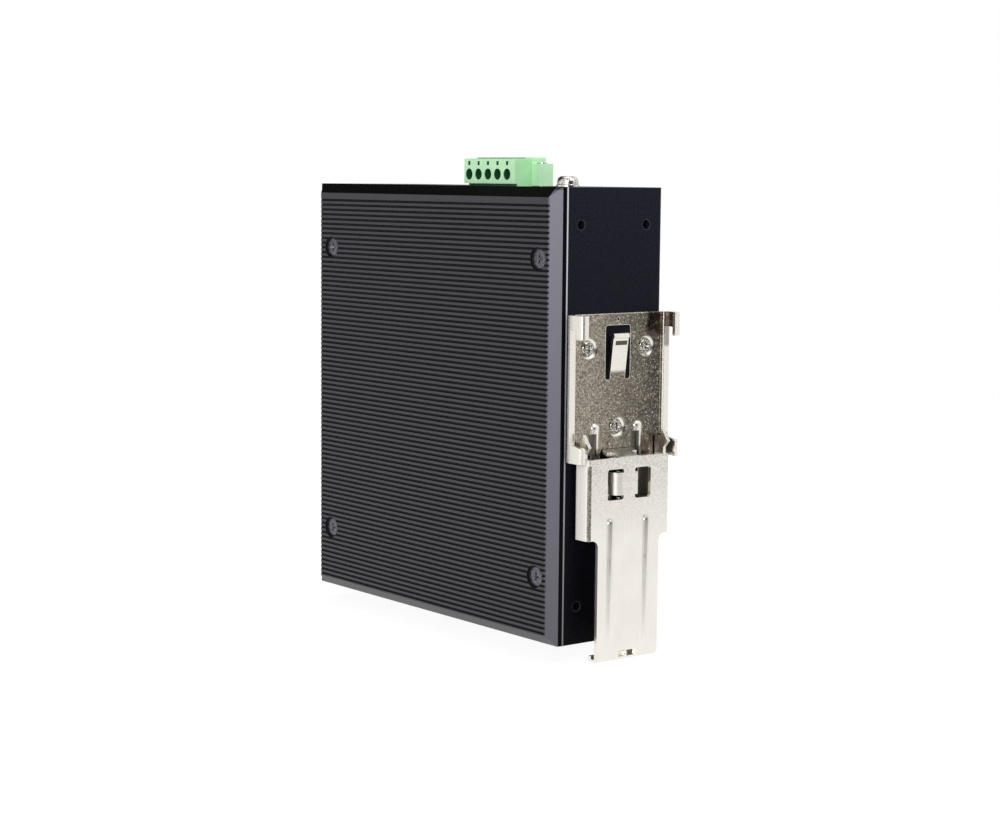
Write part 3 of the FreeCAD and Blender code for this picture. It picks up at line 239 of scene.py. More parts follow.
def along(tree, axis, low_mm, high_mm):
    """0 at one height along an object axis and 1 at another."""
    where = node(tree, "ShaderNodeTexCoord").outputs["Object"]
    split = node(tree, "ShaderNodeSeparateXYZ", {0: where})
    return node(tree, "ShaderNodeMapRange", {
        "Value": split.outputs[axis], "From Min": low_mm * MM, "From Max": high_mm * MM}).outputs["Result"]


def opaque(colour):
    """A colour with full opacity."""
    return tuple(colour) + (1.0,)


def region(tree, low, high, soft=0.15):
    """1 inside a box given by two corners in millimetres, 0 outside it, with a soft border."""
    factor = 1.0
    for axis, start, stop in zip("XYZ", low, high):
        factor = scaled(tree, factor, along(tree, axis, start - soft, start))
        factor = scaled(tree, factor, along(tree, axis, stop + soft, stop))
    return factor


def edge_highlight_mask(tree, radius_mm):
    """1 along the edges of a piece, fading to 0 on its flats: the mask of painted edge highlights."""
    soft = node(tree, "ShaderNodeBevel", {"Radius": radius_mm * MM}, samples=8).outputs[0]
    flat = node(tree, "ShaderNodeNewGeometry").outputs["Normal"]
    turn = node(tree, "ShaderNodeVectorMath", {0: soft, 1: flat}, operation="DOT_PRODUCT").outputs["Value"]
    return node(tree, "ShaderNodeMapRange", {
        "Value": turn, "From Min": 0.995, "From Max": 0.93}).outputs["Result"]


def mix(tree, factor, first, second):
    """One colour fading to another."""
    made = node(tree, "ShaderNodeMix", data_type="RGBA")
    for key, value in (("Factor", factor), ("A", first), ("B", second)):
        sockets = [item for item in made.inputs if item.name == key and item.enabled]
        if isinstance(value, bpy.types.NodeSocket):
            tree.links.new(value, sockets[0])
        else:
            sockets[0].default_value = value
    return [item for item in made.outputs if item.enabled][0]


# ---------------------------------------------------------------- finishes

def powder_coat(tree, look):
    # Polyester powder coat on steel: near black with a blue cast and a fine pebbled skin. Painted
    # highlights make the edges paler and the bend bright; painted shade darkens the seam and the lower
    # half against a lighter top.
    lumps = grain(tree, 0.6, detail=2)
    flecks = ramp(tree, lumps, [(0.5, opaque(look.coat)), (0.72, shade(look.coat, 4.5))])
    # Painted highlight: paler edges and hole rims.
    edge = scaled(tree, edge_highlight_mask(tree, 0.35), 0.55)
    # Painted highlight: a bright line along the case's bend beside the cover.
    bend_highlight = region(tree, *CASE_BEND_HIGHLIGHT)
    # Painted shade: a near-black strip in the seam between case and cover.
    seam_shade = region(tree, *CASE_SEAM_SHADE)
    # Painted light and shade: darker towards the bottom, lighter towards the top.
    lower_shade = mix(tree, 0.6, flecks, (0.001, 0.001, 0.001, 1.0))
    upper = mix(tree, 0.5, flecks, shade(look.coat, 4.0))
    colour = mix(tree, along(tree, "Z", -70, 62), lower_shade, upper)
    colour = mix(tree, edge, colour, shade(look.coat_highlight, 0.4))
    colour = mix(tree, scaled(tree, bend_highlight, along(tree, "Z", -150, 60)), colour, shade(look.coat_highlight, 1.8))
    colour = mix(tree, seam_shade, colour, linear("#040406"))
    gloss = scaled(tree, maths(tree, "MAXIMUM", edge, bend_highlight), minus(tree, 1, seam_shade))
    return {"Base Color": colour, "Roughness": 0.42, "Specular IOR Level": between(tree, gloss, 0.05, 0.5),
            "Normal": bump(tree, lumps, 0.05, 0.6)}


def anodised_aluminium(tree, look):
    # Blasted and black-anodised aluminium: charcoal with a violet cast. Painted shade darkens the
    # grooves and the top bevel; a painted highlight lightens the rear bevel.
    lumps = grain(tree, 0.5, detail=2)
    patches = grain(tree, 9)
    rib = ramp(tree, patches, [(0.3, shade(look.cover, 0.9)), (0.7, shade(look.cover, 1.1))])
    rib = mix(tree, scaled(tree, lumps, 0.5), rib, shade(look.cover, 1.6))
    # Painted shade in the groove floors.
    deep = region(tree, *COVER_GROOVE_SHADE, 0.1)
    # Painted highlight on the rear bevel, fading towards the bottom.
    rear_highlight = region(tree, *COVER_REAR_HIGHLIGHT)
    colour = mix(tree, deep, rib, shade(look.cover, 0.6))
    colour = mix(tree, scaled(tree, rear_highlight, along(tree, "Z", -190, 60)), colour, shade(look.cover, 9.0))
    # Painted shade on the top bevel.
    above = region(tree, *COVER_TOP_SHADE)
    colour = mix(tree, above, colour, shade(look.cover, 0.08))
    deep = maths(tree, "MAXIMUM", deep, above)
    return {"Base Color": colour, "Roughness": between(tree, lumps, 0.42, 0.52),
            "Specular IOR Level": between(tree, deep, 0.7, 0.1), "Normal": bump(tree, lumps, 0.04, 0.6)}


def black_zinc(tree, look):
    # Black-zinc plated steel screws, their heads rubbed to a grey by the driver.
    lumps = grain(tree, 0.5)
    return {"Base Color": ramp(tree, lumps, [(0.35, linear("#45434b")), (0.7, linear("#807e87"))]),
            "Metallic": 0.6, "Roughness": 0.32, "Normal": bump(tree, lumps, 0.02, 0.4)}


def nickel_tumbled(tree, look):
    # Barrel-plated nickel on a stamping: the flat web is speckled grey-brown by the tumbling. Painted
    # highlights make edges, hooks, tongue and the lower tab bright cream; painted shade darkens the
    # tongue's slot and one side of each bead; painted reflections of the shaded hooks put brown tones
    # beside them. The web's darker side is painted too.
    fine = grain(tree, 0.55, detail=1, roughness=0.6)
    broad = grain(tree, 6, detail=2)
    speckle = ramp(tree, fine, [(0.28, shade(look.base, 0.35)), (0.46, shade(look.base, 0.95)),
                                (0.6, shade(look.base, 1.2)), (0.72, shade(look.base, 2.0))])
    darker = ramp(tree, fine, [(0.3, shade(look.base, 0.12)), (0.55, shade(look.base, 0.3)),
                               (0.66, shade(look.base, 0.7)), (0.74, shade(look.base, 2.2))])
    side = along(tree, "X", 12, -16)
    web = mix(tree, scaled(tree, side, between(tree, broad, 0.6, 1.2)), speckle, darker)
    # Surfaces off the web's plane and its edges get the painted highlight.
    above = along(tree, "Y", WEB_FACE + 0.1, WEB_FACE + 0.25)
    below = along(tree, "Y", WEB_FACE - 0.1, WEB_FACE - 0.3)
    off_web = maths(tree, "MAXIMUM", maths(tree, "MAXIMUM", above, below), edge_highlight_mask(tree, 0.4))
    # Painted highlight on the tab at the web's lower edge.
    tab_highlight = region(tree, *WEB_TAB_HIGHLIGHT)
    off_web = maths(tree, "MAXIMUM", off_web, tab_highlight)
    # Painted shade on one side of each bead, which is kept free of the painted highlight.
    bead_shade = 0.0
    for box in BEAD_SHADES:
        bead_shade = plus(tree, bead_shade, region(tree, *box, 0.3))
    unshaded = minus(tree, 1, scaled(tree, bead_shade, 0.85))
    off_web = scaled(tree, off_web, unshaded)
    # Painted highlight: the bright cream of the folds, hooks, tongue and edges.
    highlight_tone = ramp(tree, fine, [(0.3, shade(look.rubbed, 0.86)), (0.7, opaque(look.rubbed))])
    colour = mix(tree, off_web, web, highlight_tone)
    # Painted shade in the slot under the tongue's roll.
    slot = region(tree, *TONGUE_SLOT_SHADE, 0.1)
    colour = mix(tree, slot, colour, linear("#57534a"))
    # Painted reflection: brown tones of the shaded hooks and lug, seen in the web beside them.
    brown_reflection = ramp(tree, broad, [(0.4, linear("#2e211c")), (0.62, linear("#5d4a3f"))])
    ragged = node(tree, "ShaderNodeMapRange",
                  {"Value": broad, "From Min": 0.36, "From Max": 0.5}).outputs[0]
    for tone in BROWN_REFLECTIONS:
        toned = scaled(tree, region(tree, *tone, 1.2), ragged)
        colour = mix(tree, scaled(tree, toned, 0.85), colour, brown_reflection)
    colour = mix(tree, scaled(tree, bead_shade, 0.8), colour, linear("#46423b"))
    return {"Base Color": colour, "Metallic": 1.0, "Roughness": between(tree, fine, 0.16, 0.3),
            "Normal": bump(tree, fine, 0.02, 0.5)}


def nickel_satin(tree, look):
    # Nickel over drawn steel strip: pale, warm and smooth, with faint lengthwise rolling marks and
    # specks that darken it towards the top. The darker band along the fold is painted; painted shade
    # lies beside the ribs; painted highlights make the edges paler and the flange bright and less
    # metallic.
    marks = grain(tree, 0.7, stretch=(1, 1, 0.02))
    specks = grain(tree, 0.5, detail=1)
    broad = grain(tree, 8)
    colour = ramp(tree, broad, [(0.3, shade(look.slider, 0.95)), (0.7, opaque(look.slider))])
    upper = ramp(tree, specks, [(0.3, shade(look.slider, 0.62)), (0.7, shade(look.slider, 0.95))])
    colour = mix(tree, along(tree, "Z", -50, -24), colour, upper)
    # A darker band along the fold, painted.
    fold_band = ramp(tree, specks, [(0.35, linear("#5f5b53")), (0.65, linear("#a8a39a"))])
    colour = mix(tree, region(tree, *SLIDER_FOLD, 0.2), colour, fold_band)
    # Painted shade beside the ribs, fading towards the bottom.
    for box in RIB_SHADES:
        faded = scaled(tree, region(tree, *box, 0.5), along(tree, "Z", -84, -44))
        colour = mix(tree, scaled(tree, faded, 0.75), colour, linear("#8f8b82"))
    # Painted highlight: paler edges.
    colour = mix(tree, scaled(tree, edge_highlight_mask(tree, 0.3), 0.6), colour, opaque(look.slider))
    # Painted highlight: the flange is painted near white and made less metallic so that it shows bright.
    flange_highlight = region(tree, *SLIDER_FLANGE_HIGHLIGHT, 0.1)
    colour = mix(tree, flange_highlight, colour, linear("#fffaf2"))
    return {"Base Color": colour, "Metallic": between(tree, flange_highlight, 1.0, 0.1),
            "Roughness": between(tree, marks, 0.24, 0.32), "Normal": bump(tree, marks, 0.006, 0.4)}


def spring_wire(tree, look):
    # Bright drawn spring wire.
    marks = grain(tree, 0.2, detail=3)
    return {"Base Color": ramp(tree, marks, [(0.3, linear("#9c9893")), (0.7, linear("#c4c0ba"))]),
            "Metallic": 1.0, "Roughness": 0.25, "Normal": bump(tree, marks, 0.01, 0.4)}


def bright_zinc(tree, look):
    # Bright zinc plating on small screws, handled and flecked.
    marks = grain(tree, 0.35, detail=3)
    return {"Base Color": ramp(tree, marks, [(0.36, linear("#7d7a74")), (0.48, linear("#cfccc6")),
                                             (0.7, linear("#f0eeea"))]), "Metallic": 1.0,
            "Roughness": between(tree, marks, 0.12, 0.28), "Normal": bump(tree, marks, 0.02, 0.4)}


def tarnished_zinc(tree, look):
    # Zinc plating on small screws that the tumbling has marked: grey with dark and bright specks.
    marks = grain(tree, 0.45, detail=1)
    return {"Base Color": ramp(tree, marks, [(0.36, linear("#3c3a35")), (0.5, linear("#8d897f")),
                                             (0.66, linear("#e4e1da"))]), "Metallic": 1.0,
            "Roughness": between(tree, marks, 0.16, 0.3), "Normal": bump(tree, marks, 0.02, 0.4)}


def green_polyamide(tree, look):
    # Injection-moulded polyamide: light green and satin. Painted shade darkens the wire entries and
    # the green behind the ears.
    lumps = grain(tree, 0.3)
    patches = grain(tree, 4)
    colour = ramp(tree, patches, [(0.3, shade(look.plug, 0.95)), (0.7, shade(look.plug, 1.05))])
    # Painted shade deep in the wire entries.
    entry_shade = region(tree, *PLUG_ENTRY_SHADE, 0.3)
    root = region(tree, *PLUG_ROOT, 0.8)
    colour = mix(tree, scaled(tree, root, 0.5), colour, linear("#4fb25c"))
    return {"Base Color": mix(tree, entry_shade, colour, linear("#1f5a34")),
            "Roughness": 0.42, "Subsurface Weight": 0.04,
            "Subsurface Radius": (0.4 * MM, 0.8 * MM, 0.4 * MM),
            "Subsurface Scale": 1.0, "Normal": bump(tree, lumps, 0.01, 0.5)}


def shaded_polyamide(tree, look):
    # The header's polyamide, painted dark because it sits in the plug's shadow.
    lumps = grain(tree, 0.3)
    return {"Base Color": ramp(tree, lumps, [(0.3, shade(look.plug, 0.1)), (0.7, shade(look.plug, 0.14))]),
            "Roughness": 0.5, "Normal": bump(tree, lumps, 0.01, 0.5)}


def tinned_steel(tree, look):
    # Tin-plated sheet, soft grey with a drawn grain.
    marks = grain(tree, 0.3, stretch=(1, 0.1, 1))
    return {"Base Color": ramp(tree, marks, [(0.3, linear("#a9a9a6")), (0.7, linear("#cbcbc8"))]),
            "Metallic": 1.0, "Roughness": between(tree, marks, 0.24, 0.36),
            "Normal": bump(tree, marks, 0.01, 0.4)}


def black_polymer(tree, look):
    # Glass-filled thermoplastic, black and finely sparked.
    lumps = grain(tree, 0.2)
    return {"Base Color": ramp(tree, lumps, [(0.3, linear("#111114")), (0.7, linear("#1a1a1e"))]),
            "Roughness": 0.5, "Normal": bump(tree, lumps, 0.02, 0.5)}


def gold_plate(tree, look):
    # Gold flash over phosphor bronze.
    marks = grain(tree, 0.1)
    return {"Base Color": ramp(tree, marks, [(0.3, linear("#d8a94a")), (0.7, linear("#efcb7a"))]),
            "Metallic": 1.0, "Roughness": 0.22, "Normal": bump(tree, marks, 0.005, 0.3)}


def clear_polycarbonate(tree, look):
    # Clear polycarbonate light pipe, a little milky at its polished end.
    lumps = grain(tree, 0.6)
    return {"Base Color": linear("#e6f0e6"), "Roughness": 0.12, "IOR": 1.585, "Transmission Weight": 0.7,
            "Normal": bump(tree, lumps, 0.005, 0.3)}


def solder_mask(tree, look):
    # Green solder mask over copper on a glass-epoxy board.
    tracks = grain(tree, 1.5, detail=0)
    return {"Base Color": ramp(tree, tracks, [(0.46, linear("#0f3a22")), (0.5, linear("#18502f"))]),
            "Roughness": 0.3, "Normal": bump(tree, tracks, 0.03, 0.5)}


def grey_silicone(tree, look):
    # Filled silicone gap pad.
    lumps = grain(tree, 0.3)
    return {"Base Color": ramp(tree, lumps, [(0.3, linear("#8a8d96")), (0.7, linear("#9ea1aa"))]),
            "Roughness": 0.8, "Normal": bump(tree, lumps, 0.02, 0.6)}


def sleeved_can(tree, look):
    # Shrink-sleeved aluminium can.
    lumps = grain(tree, 0.8)
    return {"Base Color": ramp(tree, lumps, [(0.3, linear("#1d2838")), (0.7, linear("#243246"))]),
            "Roughness": 0.25, "Normal": bump(tree, lumps, 0.01, 0.4)}


FINISHES = {
    "coated_steel": powder_coat, "ribbed_aluminium": anodised_aluminium, "black_oxide": black_zinc,
    "nickel_base": nickel_tumbled, "nickel_slider": nickel_satin, "spring_steel": spring_wire,
    "bright_screw": bright_zinc, "green_plastic": green_polyamide, "header_plastic": shaded_polyamide,
    "clamp_steel": tinned_steel, "board_laminate": solder_mask, "black_plastic": black_polymer,
    "chip_plastic": black_polymer, "pad_silicone": grey_silicone, "shell_steel": tinned_steel,
    "contact_gold": gold_plate, "clear_plastic": clear_polycarbonate, "led_resin": clear_polycarbonate,
    "can_aluminium": sleeved_can, "ferrite": black_polymer,
}
# A piece that looks unlike the others of its slot.
MARKED = {"clip_screws": tarnished_zinc}
SLOTS = {row["node"]: row["material_slot"] for row in frame["record"]["subparts"]}
made_finishes = {}


def finish_for(part):
    """The material of a CAD node, made once for each look of the record's slots."""
    slot = SLOTS[part]
    build = MARKED.get(part, FINISHES[slot])
    name = build.__name__ + "_" + slot
    if name not in made_finishes:
        made_finishes[name] = material(name, build, bpy.context.scene.rail_switch)
    return made_finishes[name]


# ---------------------------------------------------------------- pieces from CAD nodes

def body_of(part):
    return frame["nodes"][part]["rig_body"]


def adopt(mesh, name, part):
    """Links a finished mesh as the piece that stands for a CAD node."""
    piece = bpy.data.objects.new(name, mesh)
    bpy.context.scene.collection.objects.link(piece)
    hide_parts(part)
    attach(piece, body_of(part))


def merged_copy(part, flat_degrees=0.5):
    """A CAD node's mesh with its triangles joined to whole faces, as a bmesh."""
    work = bmesh.new()
    work.from_mesh(frame["nodes"][part].data)
    bmesh.ops.remove_doubles(work, verts=work.verts, dist=MERGE * MM)
    bmesh.ops.dissolve_limit(work, angle_limit=math.radians(flat_degrees), verts=work.verts,
                             edges=work.edges, use_dissolve_boundaries=False)
    return work


def dressed(part, edge_mm):
    """A piece that repeats a CAD node with its sharp edges broken, as tooling leaves them."""
    work = merged_copy(part)
    mesh = bpy.data.meshes.new(part + "_mesh")
    work.to_mesh(mesh)
    work.free()
    mesh.materials.clear()
    mesh.materials.append(finish_for(part))
    draft = bpy.data.objects.new(part + "_draft", mesh)
    bpy.context.scene.collection.objects.link(draft)
    if edge_mm:
        bevel = draft.modifiers.new("broken_edges", "BEVEL")
        bevel.width = edge_mm * MM
        bevel.segments = 2
        bevel.limit_method = "ANGLE"
        bevel.angle_limit = math.radians(SMOOTH)
        bevel.use_clamp_overlap = True
        bevel.harden_normals = True
    for face in mesh.polygons:
        face.use_smooth = True
        face.material_index = 0
    mesh.set_sharp_from_angle(angle=math.radians(SMOOTH))
    bpy.context.view_layer.update()
    ready = draft.evaluated_get(bpy.context.evaluated_depsgraph_get())
    final = bpy.data.meshes.new_from_object(ready)
    bpy.data.objects.remove(draft)
    adopt(final, part + "_dressed", part)


def islands(part):
    """The box of each separate solid in a CAD node, as (low, high) corners."""
    work = bmesh.new()
    work.from_mesh(frame["nodes"][part].data)
    bmesh.ops.remove_doubles(work, verts=work.verts, dist=MERGE * MM)
    todo, boxes = set(work.verts), []
    while todo:
        heap = [todo.pop()]
        reached = set(heap)
        while heap:
            for edge in heap.pop().link_edges:
                for vert in edge.verts:
                    if vert not in reached:
                        reached.add(vert)
                        heap.append(vert)
        todo -= reached
        corners = [vert.co for vert in reached]
        boxes.append((Vector([min(c[i] for c in corners) for i in range(3)]),
                      Vector([max(c[i] for c in corners) for i in range(3)])))
    work.free()
    return sorted(boxes, key=lambda box: tuple(round(v, 5) for v in box[0]))


# ---------------------------------------------------------------- geometry nodes

def plan(name, inputs):
    """A new geometry tree with inputs given as (name, kind); returns the tree and its input node."""
    tree = bpy.data.node_groups.new(name, "GeometryNodeTree")
    tree.interface.new_socket("Geometry", in_out="INPUT", socket_type="NodeSocketGeometry")
    for label, kind in inputs:
        tree.interface.new_socket(label, in_out="INPUT", socket_type="NodeSocket" + kind)
    tree.interface.new_socket("Geometry", in_out="OUTPUT", socket_type="NodeSocketGeometry")
    return tree, tree.nodes.new("NodeGroupInput").outputs


def end(tree, geometry, finish):
    """Ends a tree in real geometry with its material."""
    real = node(tree, "GeometryNodeRealizeInstances", {"Geometry": geometry})
    painted = node(tree, "GeometryNodeSetMaterial", {"Geometry": real.outputs[0], "Material": finish})
    node(tree, "NodeGroupOutput", {"Geometry": painted.outputs[0]})


def grown(part, tree, values, points, smooth_degrees=SMOOTH):
    """Runs a tree on a few points and keeps the result as the piece that stands for a CAD node."""
    seed = bpy.data.meshes.new(part + "_seed")
    seed.from_pydata(points, [], [])
    draft = bpy.data.objects.new(part + "_draft", seed)
    bpy.context.scene.collection.objects.link(draft)
    modifier = draft.modifiers.new("plan", "NODES")
    modifier.node_group = tree
    for item in tree.interface.items_tree:
        if item.in_out == "INPUT" and item.name in values:
            modifier[item.identifier] = values[item.name]
    bpy.context.view_layer.update()
    ready = draft.evaluated_get(bpy.context.evaluated_depsgraph_get())
    final = bpy.data.meshes.new_from_object(ready)
    draft.modifiers.clear()
    bpy.data.objects.remove(draft)
    for face in final.polygons:
        face.use_smooth = True
    final.set_sharp_from_angle(angle=math.radians(smooth_degrees))
    adopt(final, part + "_grown", part)


def countersunk_cut(tree, given, plate):
    """Cuts a recess, a cone and a hole through a plate at each of the input's points."""
    cut = node(tree, "GeometryNodeMeshBoolean", {"Mesh 1": plate}, operation="DIFFERENCE")
    cut.solver = "EXACT"
    side, deep, thick = given["Recess Side"], given["Head Depth"], given["Thick"]
    lap = 0.02 * MM
    for top, bottom, wide, narrow in (
            (plus(tree, thick, thick), minus(tree, thick, side),
             given["Recess Radius"], given["Recess Radius"]),
            (plus(tree, minus(tree, thick, side), lap),
             minus(tree, thick, deep), given["Recess Radius"], given["Hole Radius"]),
            (plus(tree, minus(tree, thick, deep), lap),
             scaled(tree, thick, -1), given["Hole Radius"], given["Hole Radius"])):
        cone = node(tree, "GeometryNodeMeshCone", {
            "Vertices": 48, "Radius Top": wide, "Radius Bottom": narrow,
            "Depth": minus(tree, top, bottom)})
        lift = node(tree, "ShaderNodeCombineXYZ", {0: bottom}).outputs[0]
        turned = node(tree, "GeometryNodeTransform", {
            "Geometry": cone.outputs[0], "Translation": lift, "Rotation": (0, math.radians(90), 0)})
        placed = node(tree, "GeometryNodeInstanceOnPoints", {
            "Points": given["Geometry"], "Instance": turned.outputs[0]})
        real = node(tree, "GeometryNodeRealizeInstances", {"Geometry": placed.outputs[0]})
        tree.links.new(real.outputs[0], cut.inputs["Mesh 2"])
    return cut.outputs[0]


# Lines of points in the cover's grid: at each edge, where the bevel starts and where it meets grooves
# and ribs, and for each groove, two at its floor between two at its mouth.
EDGE_LINES, GROOVE_LINES = 3, 4


def ribbed_plate_plan():
    """A plate with grooves along its length and bevelled edges; its thickness follows one rule.

    Each point stands as high as the smallest of the rib or groove there and its distance to the
    nearest edge. Screw recesses are cut at the input's points.
    """
    tree, given = plan("ribbed_plate", [
        ("Corner", "Vector"), ("Long", "Float"), ("Tall", "Float"), ("Thick", "Float"), ("Pitch", "Float"),
        ("Groove", "Float"), ("Groove Floor", "Float"), ("Groove Depth", "Float"), ("Ribs", "Int"),
        ("Recess Radius", "Float"), ("Recess Side", "Float"), ("Head Depth", "Float"),
        ("Hole Radius", "Float"), ("Finish", "Material")])
    rows = maths(tree, "MULTIPLY_ADD", given["Ribs"], GROOVE_LINES, 2 * EDGE_LINES)
    grid = node(tree, "GeometryNodeMeshGrid", {
        "Size X": 1, "Size Y": 1, "Vertices X": 2 * EDGE_LINES, "Vertices Y": rows})
    cell = node(tree, "ShaderNodeSeparateXYZ", {0: node(tree, "GeometryNodeInputPosition").outputs[0]})
    last_column = 2 * EDGE_LINES - 1
    column = maths(tree, "ROUND", scaled(tree, plus(tree, cell.outputs[0], 0.5), last_column))
    last = minus(tree, rows, 1)
    row = maths(tree, "ROUND", scaled(tree, plus(tree, cell.outputs[1], 0.5), last))
    ramped = minus(tree, given["Thick"], given["Groove Depth"])

    def edge_step(steps):
        """Distance from an edge of the lines where the bevel meets the grooves and the ribs."""
        first = scaled(tree, maths(tree, "MINIMUM", steps, 1), ramped)
        rest = scaled(tree, maths(tree, "MAXIMUM", minus(tree, steps, 1), 0), given["Groove Depth"])
        return plus(tree, first, rest)

    def choose(low_if, low, high):
        """low where low_if is 1, else high."""
        return plus(tree, scaled(tree, low_if, low), scaled(tree, minus(tree, 1, low_if), high))

    y = choose(maths(tree, "LESS_THAN", column, EDGE_LINES - 0.5), edge_step(column),
               minus(tree, given["Long"], edge_step(minus(tree, last_column, column))))
    from_top = minus(tree, last, row)
    inner = minus(tree, row, EDGE_LINES)
    groove_number = maths(tree, "FLOOR", maths(tree, "DIVIDE", inner, GROOVE_LINES))
    corner_number = minus(tree, maths(tree, "FLOORED_MODULO", inner, GROOVE_LINES), (GROOVE_LINES - 1) / 2)
    outer = maths(tree, "GREATER_THAN", maths(tree, "ABSOLUTE", corner_number), 1)
    half = maths(tree, "DIVIDE", choose(outer, given["Groove"], given["Groove Floor"]), 2)
    middle = plus(tree, given["Thick"], scaled(tree, given["Pitch"], plus(tree, groove_number, 0.5)))
    ribbed = maths(tree, "MULTIPLY_ADD", maths(tree, "SIGN", corner_number), half, middle)
    upper = minus(tree, given["Tall"], edge_step(from_top))
    z = choose(maths(tree, "LESS_THAN", row, EDGE_LINES - 0.5), edge_step(row),
               choose(maths(tree, "LESS_THAN", from_top, EDGE_LINES - 0.5), upper, ribbed))
    at_edge = maths(tree, "MINIMUM", row, from_top)
    in_groove = scaled(tree, minus(tree, 1, outer),
                       maths(tree, "GREATER_THAN", at_edge, EDGE_LINES - 0.5))
    height = minus(tree, given["Thick"], scaled(tree, in_groove, given["Groove Depth"]))
    for reach, size in ((y, "Long"), (z, "Tall")):
        to_edge = maths(tree, "MINIMUM", reach, minus(tree, given[size], reach))
        height = maths(tree, "MINIMUM", height, to_edge)

    def laid(up):
        spot = node(tree, "ShaderNodeCombineXYZ", {0: up, 1: y, 2: z}).outputs[0]
        spot = node(tree, "ShaderNodeVectorMath", {0: spot, 1: given["Corner"]}).outputs[0]
        moved = {"Geometry": grid.outputs[0], "Position": spot}
        return node(tree, "GeometryNodeSetPosition", moved).outputs[0]

    face = node(tree, "GeometryNodeTriangulate", {"Mesh": laid(height)}, quad_method="LONGEST_DIAGONAL")
    rear = node(tree, "GeometryNodeFlipFaces", {"Mesh": laid(0.0)})
    both = node(tree, "GeometryNodeJoinGeometry")
    tree.links.new(rear.outputs[0], both.inputs[0])
    tree.links.new(face.outputs[0], both.inputs[0])
    plate = node(tree, "GeometryNodeMergeByDistance",
                 {"Geometry": both.outputs[0], "Distance": 0.001 * MM})
    end(tree, countersunk_cut(tree, given, plate.outputs[0]), given["Finish"])
    return tree


def copies_plan():
    """The same object set down at every point, turned one way."""
    tree, given = plan("copies", [("Object", "Object"), ("Turn", "Rotation"), ("Finish", "Material")])
    master = node(tree, "GeometryNodeObjectInfo", {"Object": given["Object"]})
    placed = node(tree, "GeometryNodeInstanceOnPoints", {
        "Points": given["Geometry"], "Instance": master.outputs["Geometry"], "Rotation": given["Turn"]})
    end(tree, placed.outputs[0], given["Finish"])
    return tree


def coil_plan():
    """A round wire wound upwards from each point."""
    tree, given = plan("coil", [("Turns", "Float"), ("Radius", "Float"), ("Height", "Float"),
                                ("Wire Radius", "Float"), ("Finish", "Material")])
    path = node(tree, "GeometryNodeCurveSpiral", {
        "Resolution": 40, "Rotations": given["Turns"], "Start Radius": given["Radius"],
        "End Radius": given["Radius"], "Height": given["Height"]})
    ring = node(tree, "GeometryNodeCurvePrimitiveCircle",
                {"Resolution": 12, "Radius": given["Wire Radius"]})
    wire = node(tree, "GeometryNodeCurveToMesh", {
        "Curve": path.outputs[0], "Profile Curve": ring.outputs[0], "Fill Caps": True})
    placed = node(tree, "GeometryNodeInstanceOnPoints", {
        "Points": given["Geometry"], "Instance": wire.outputs[0]})
    end(tree, placed.outputs[0], given["Finish"])
    return tree


def blocks_plan():
    """A small brick at every point."""
    tree, given = plan("blocks", [("Size", "Vector"), ("Finish", "Material")])
    brick = node(tree, "GeometryNodeMeshCube", {"Size": given["Size"]})
    placed = node(tree, "GeometryNodeInstanceOnPoints", {
        "Points": given["Geometry"], "Instance": brick.outputs[0]})
    end(tree, placed.outputs[0], given["Finish"])
    return tree


def turned_mesh(name, profile, steps=48):
    """A closed turned part; profile is (radius, height) from the bottom's middle to the top's."""
    work = bmesh.new()
    verts = [work.verts.new((radius, 0, height)) for radius, height in profile]
    edges = [work.edges.new(pair) for pair in zip(verts, verts[1:])]
    bmesh.ops.spin(work, geom=verts + edges, cent=(0, 0, 0), axis=(0, 0, 1), dvec=(0, 0, 0),
                   angle=2 * math.pi, steps=steps)
    bmesh.ops.remove_doubles(work, verts=work.verts, dist=0.001 * MM)
    bmesh.ops.recalc_face_normals(work, faces=work.faces)
    mesh = bpy.data.meshes.new(name)
    work.to_mesh(mesh)
    work.free()
    return mesh


def cross_mesh(name, arm, half, low, high):
    """The form of a cross recess: a plus with tapered arms, between two heights."""
    work = bmesh.new()
    rings = []
    for height, reach, wide in ((low, arm * 0.45, half * 0.7), (high, arm * 1.08, half * 1.1)):
        ring = []
        for quarter in range(4):
            turn = Matrix.Rotation(math.radians(90 * quarter), 3, "Z")
            for x, y in ((reach, -wide), (reach, wide), (wide, wide)):
                ring.append(work.verts.new(turn @ Vector((x, y, height))))
        rings.append(ring)
    count = len(rings[0])
    for i in range(count):
        j = (i + 1) % count
        work.faces.new((rings[0][i], rings[0][j], rings[1][j], rings[1][i]))
    work.faces.new(list(reversed(rings[0])))
    work.faces.new(rings[1])
    bmesh.ops.recalc_face_normals(work, faces=work.faces)
    mesh = bpy.data.meshes.new(name)
    work.to_mesh(mesh)
    work.free()
    return mesh


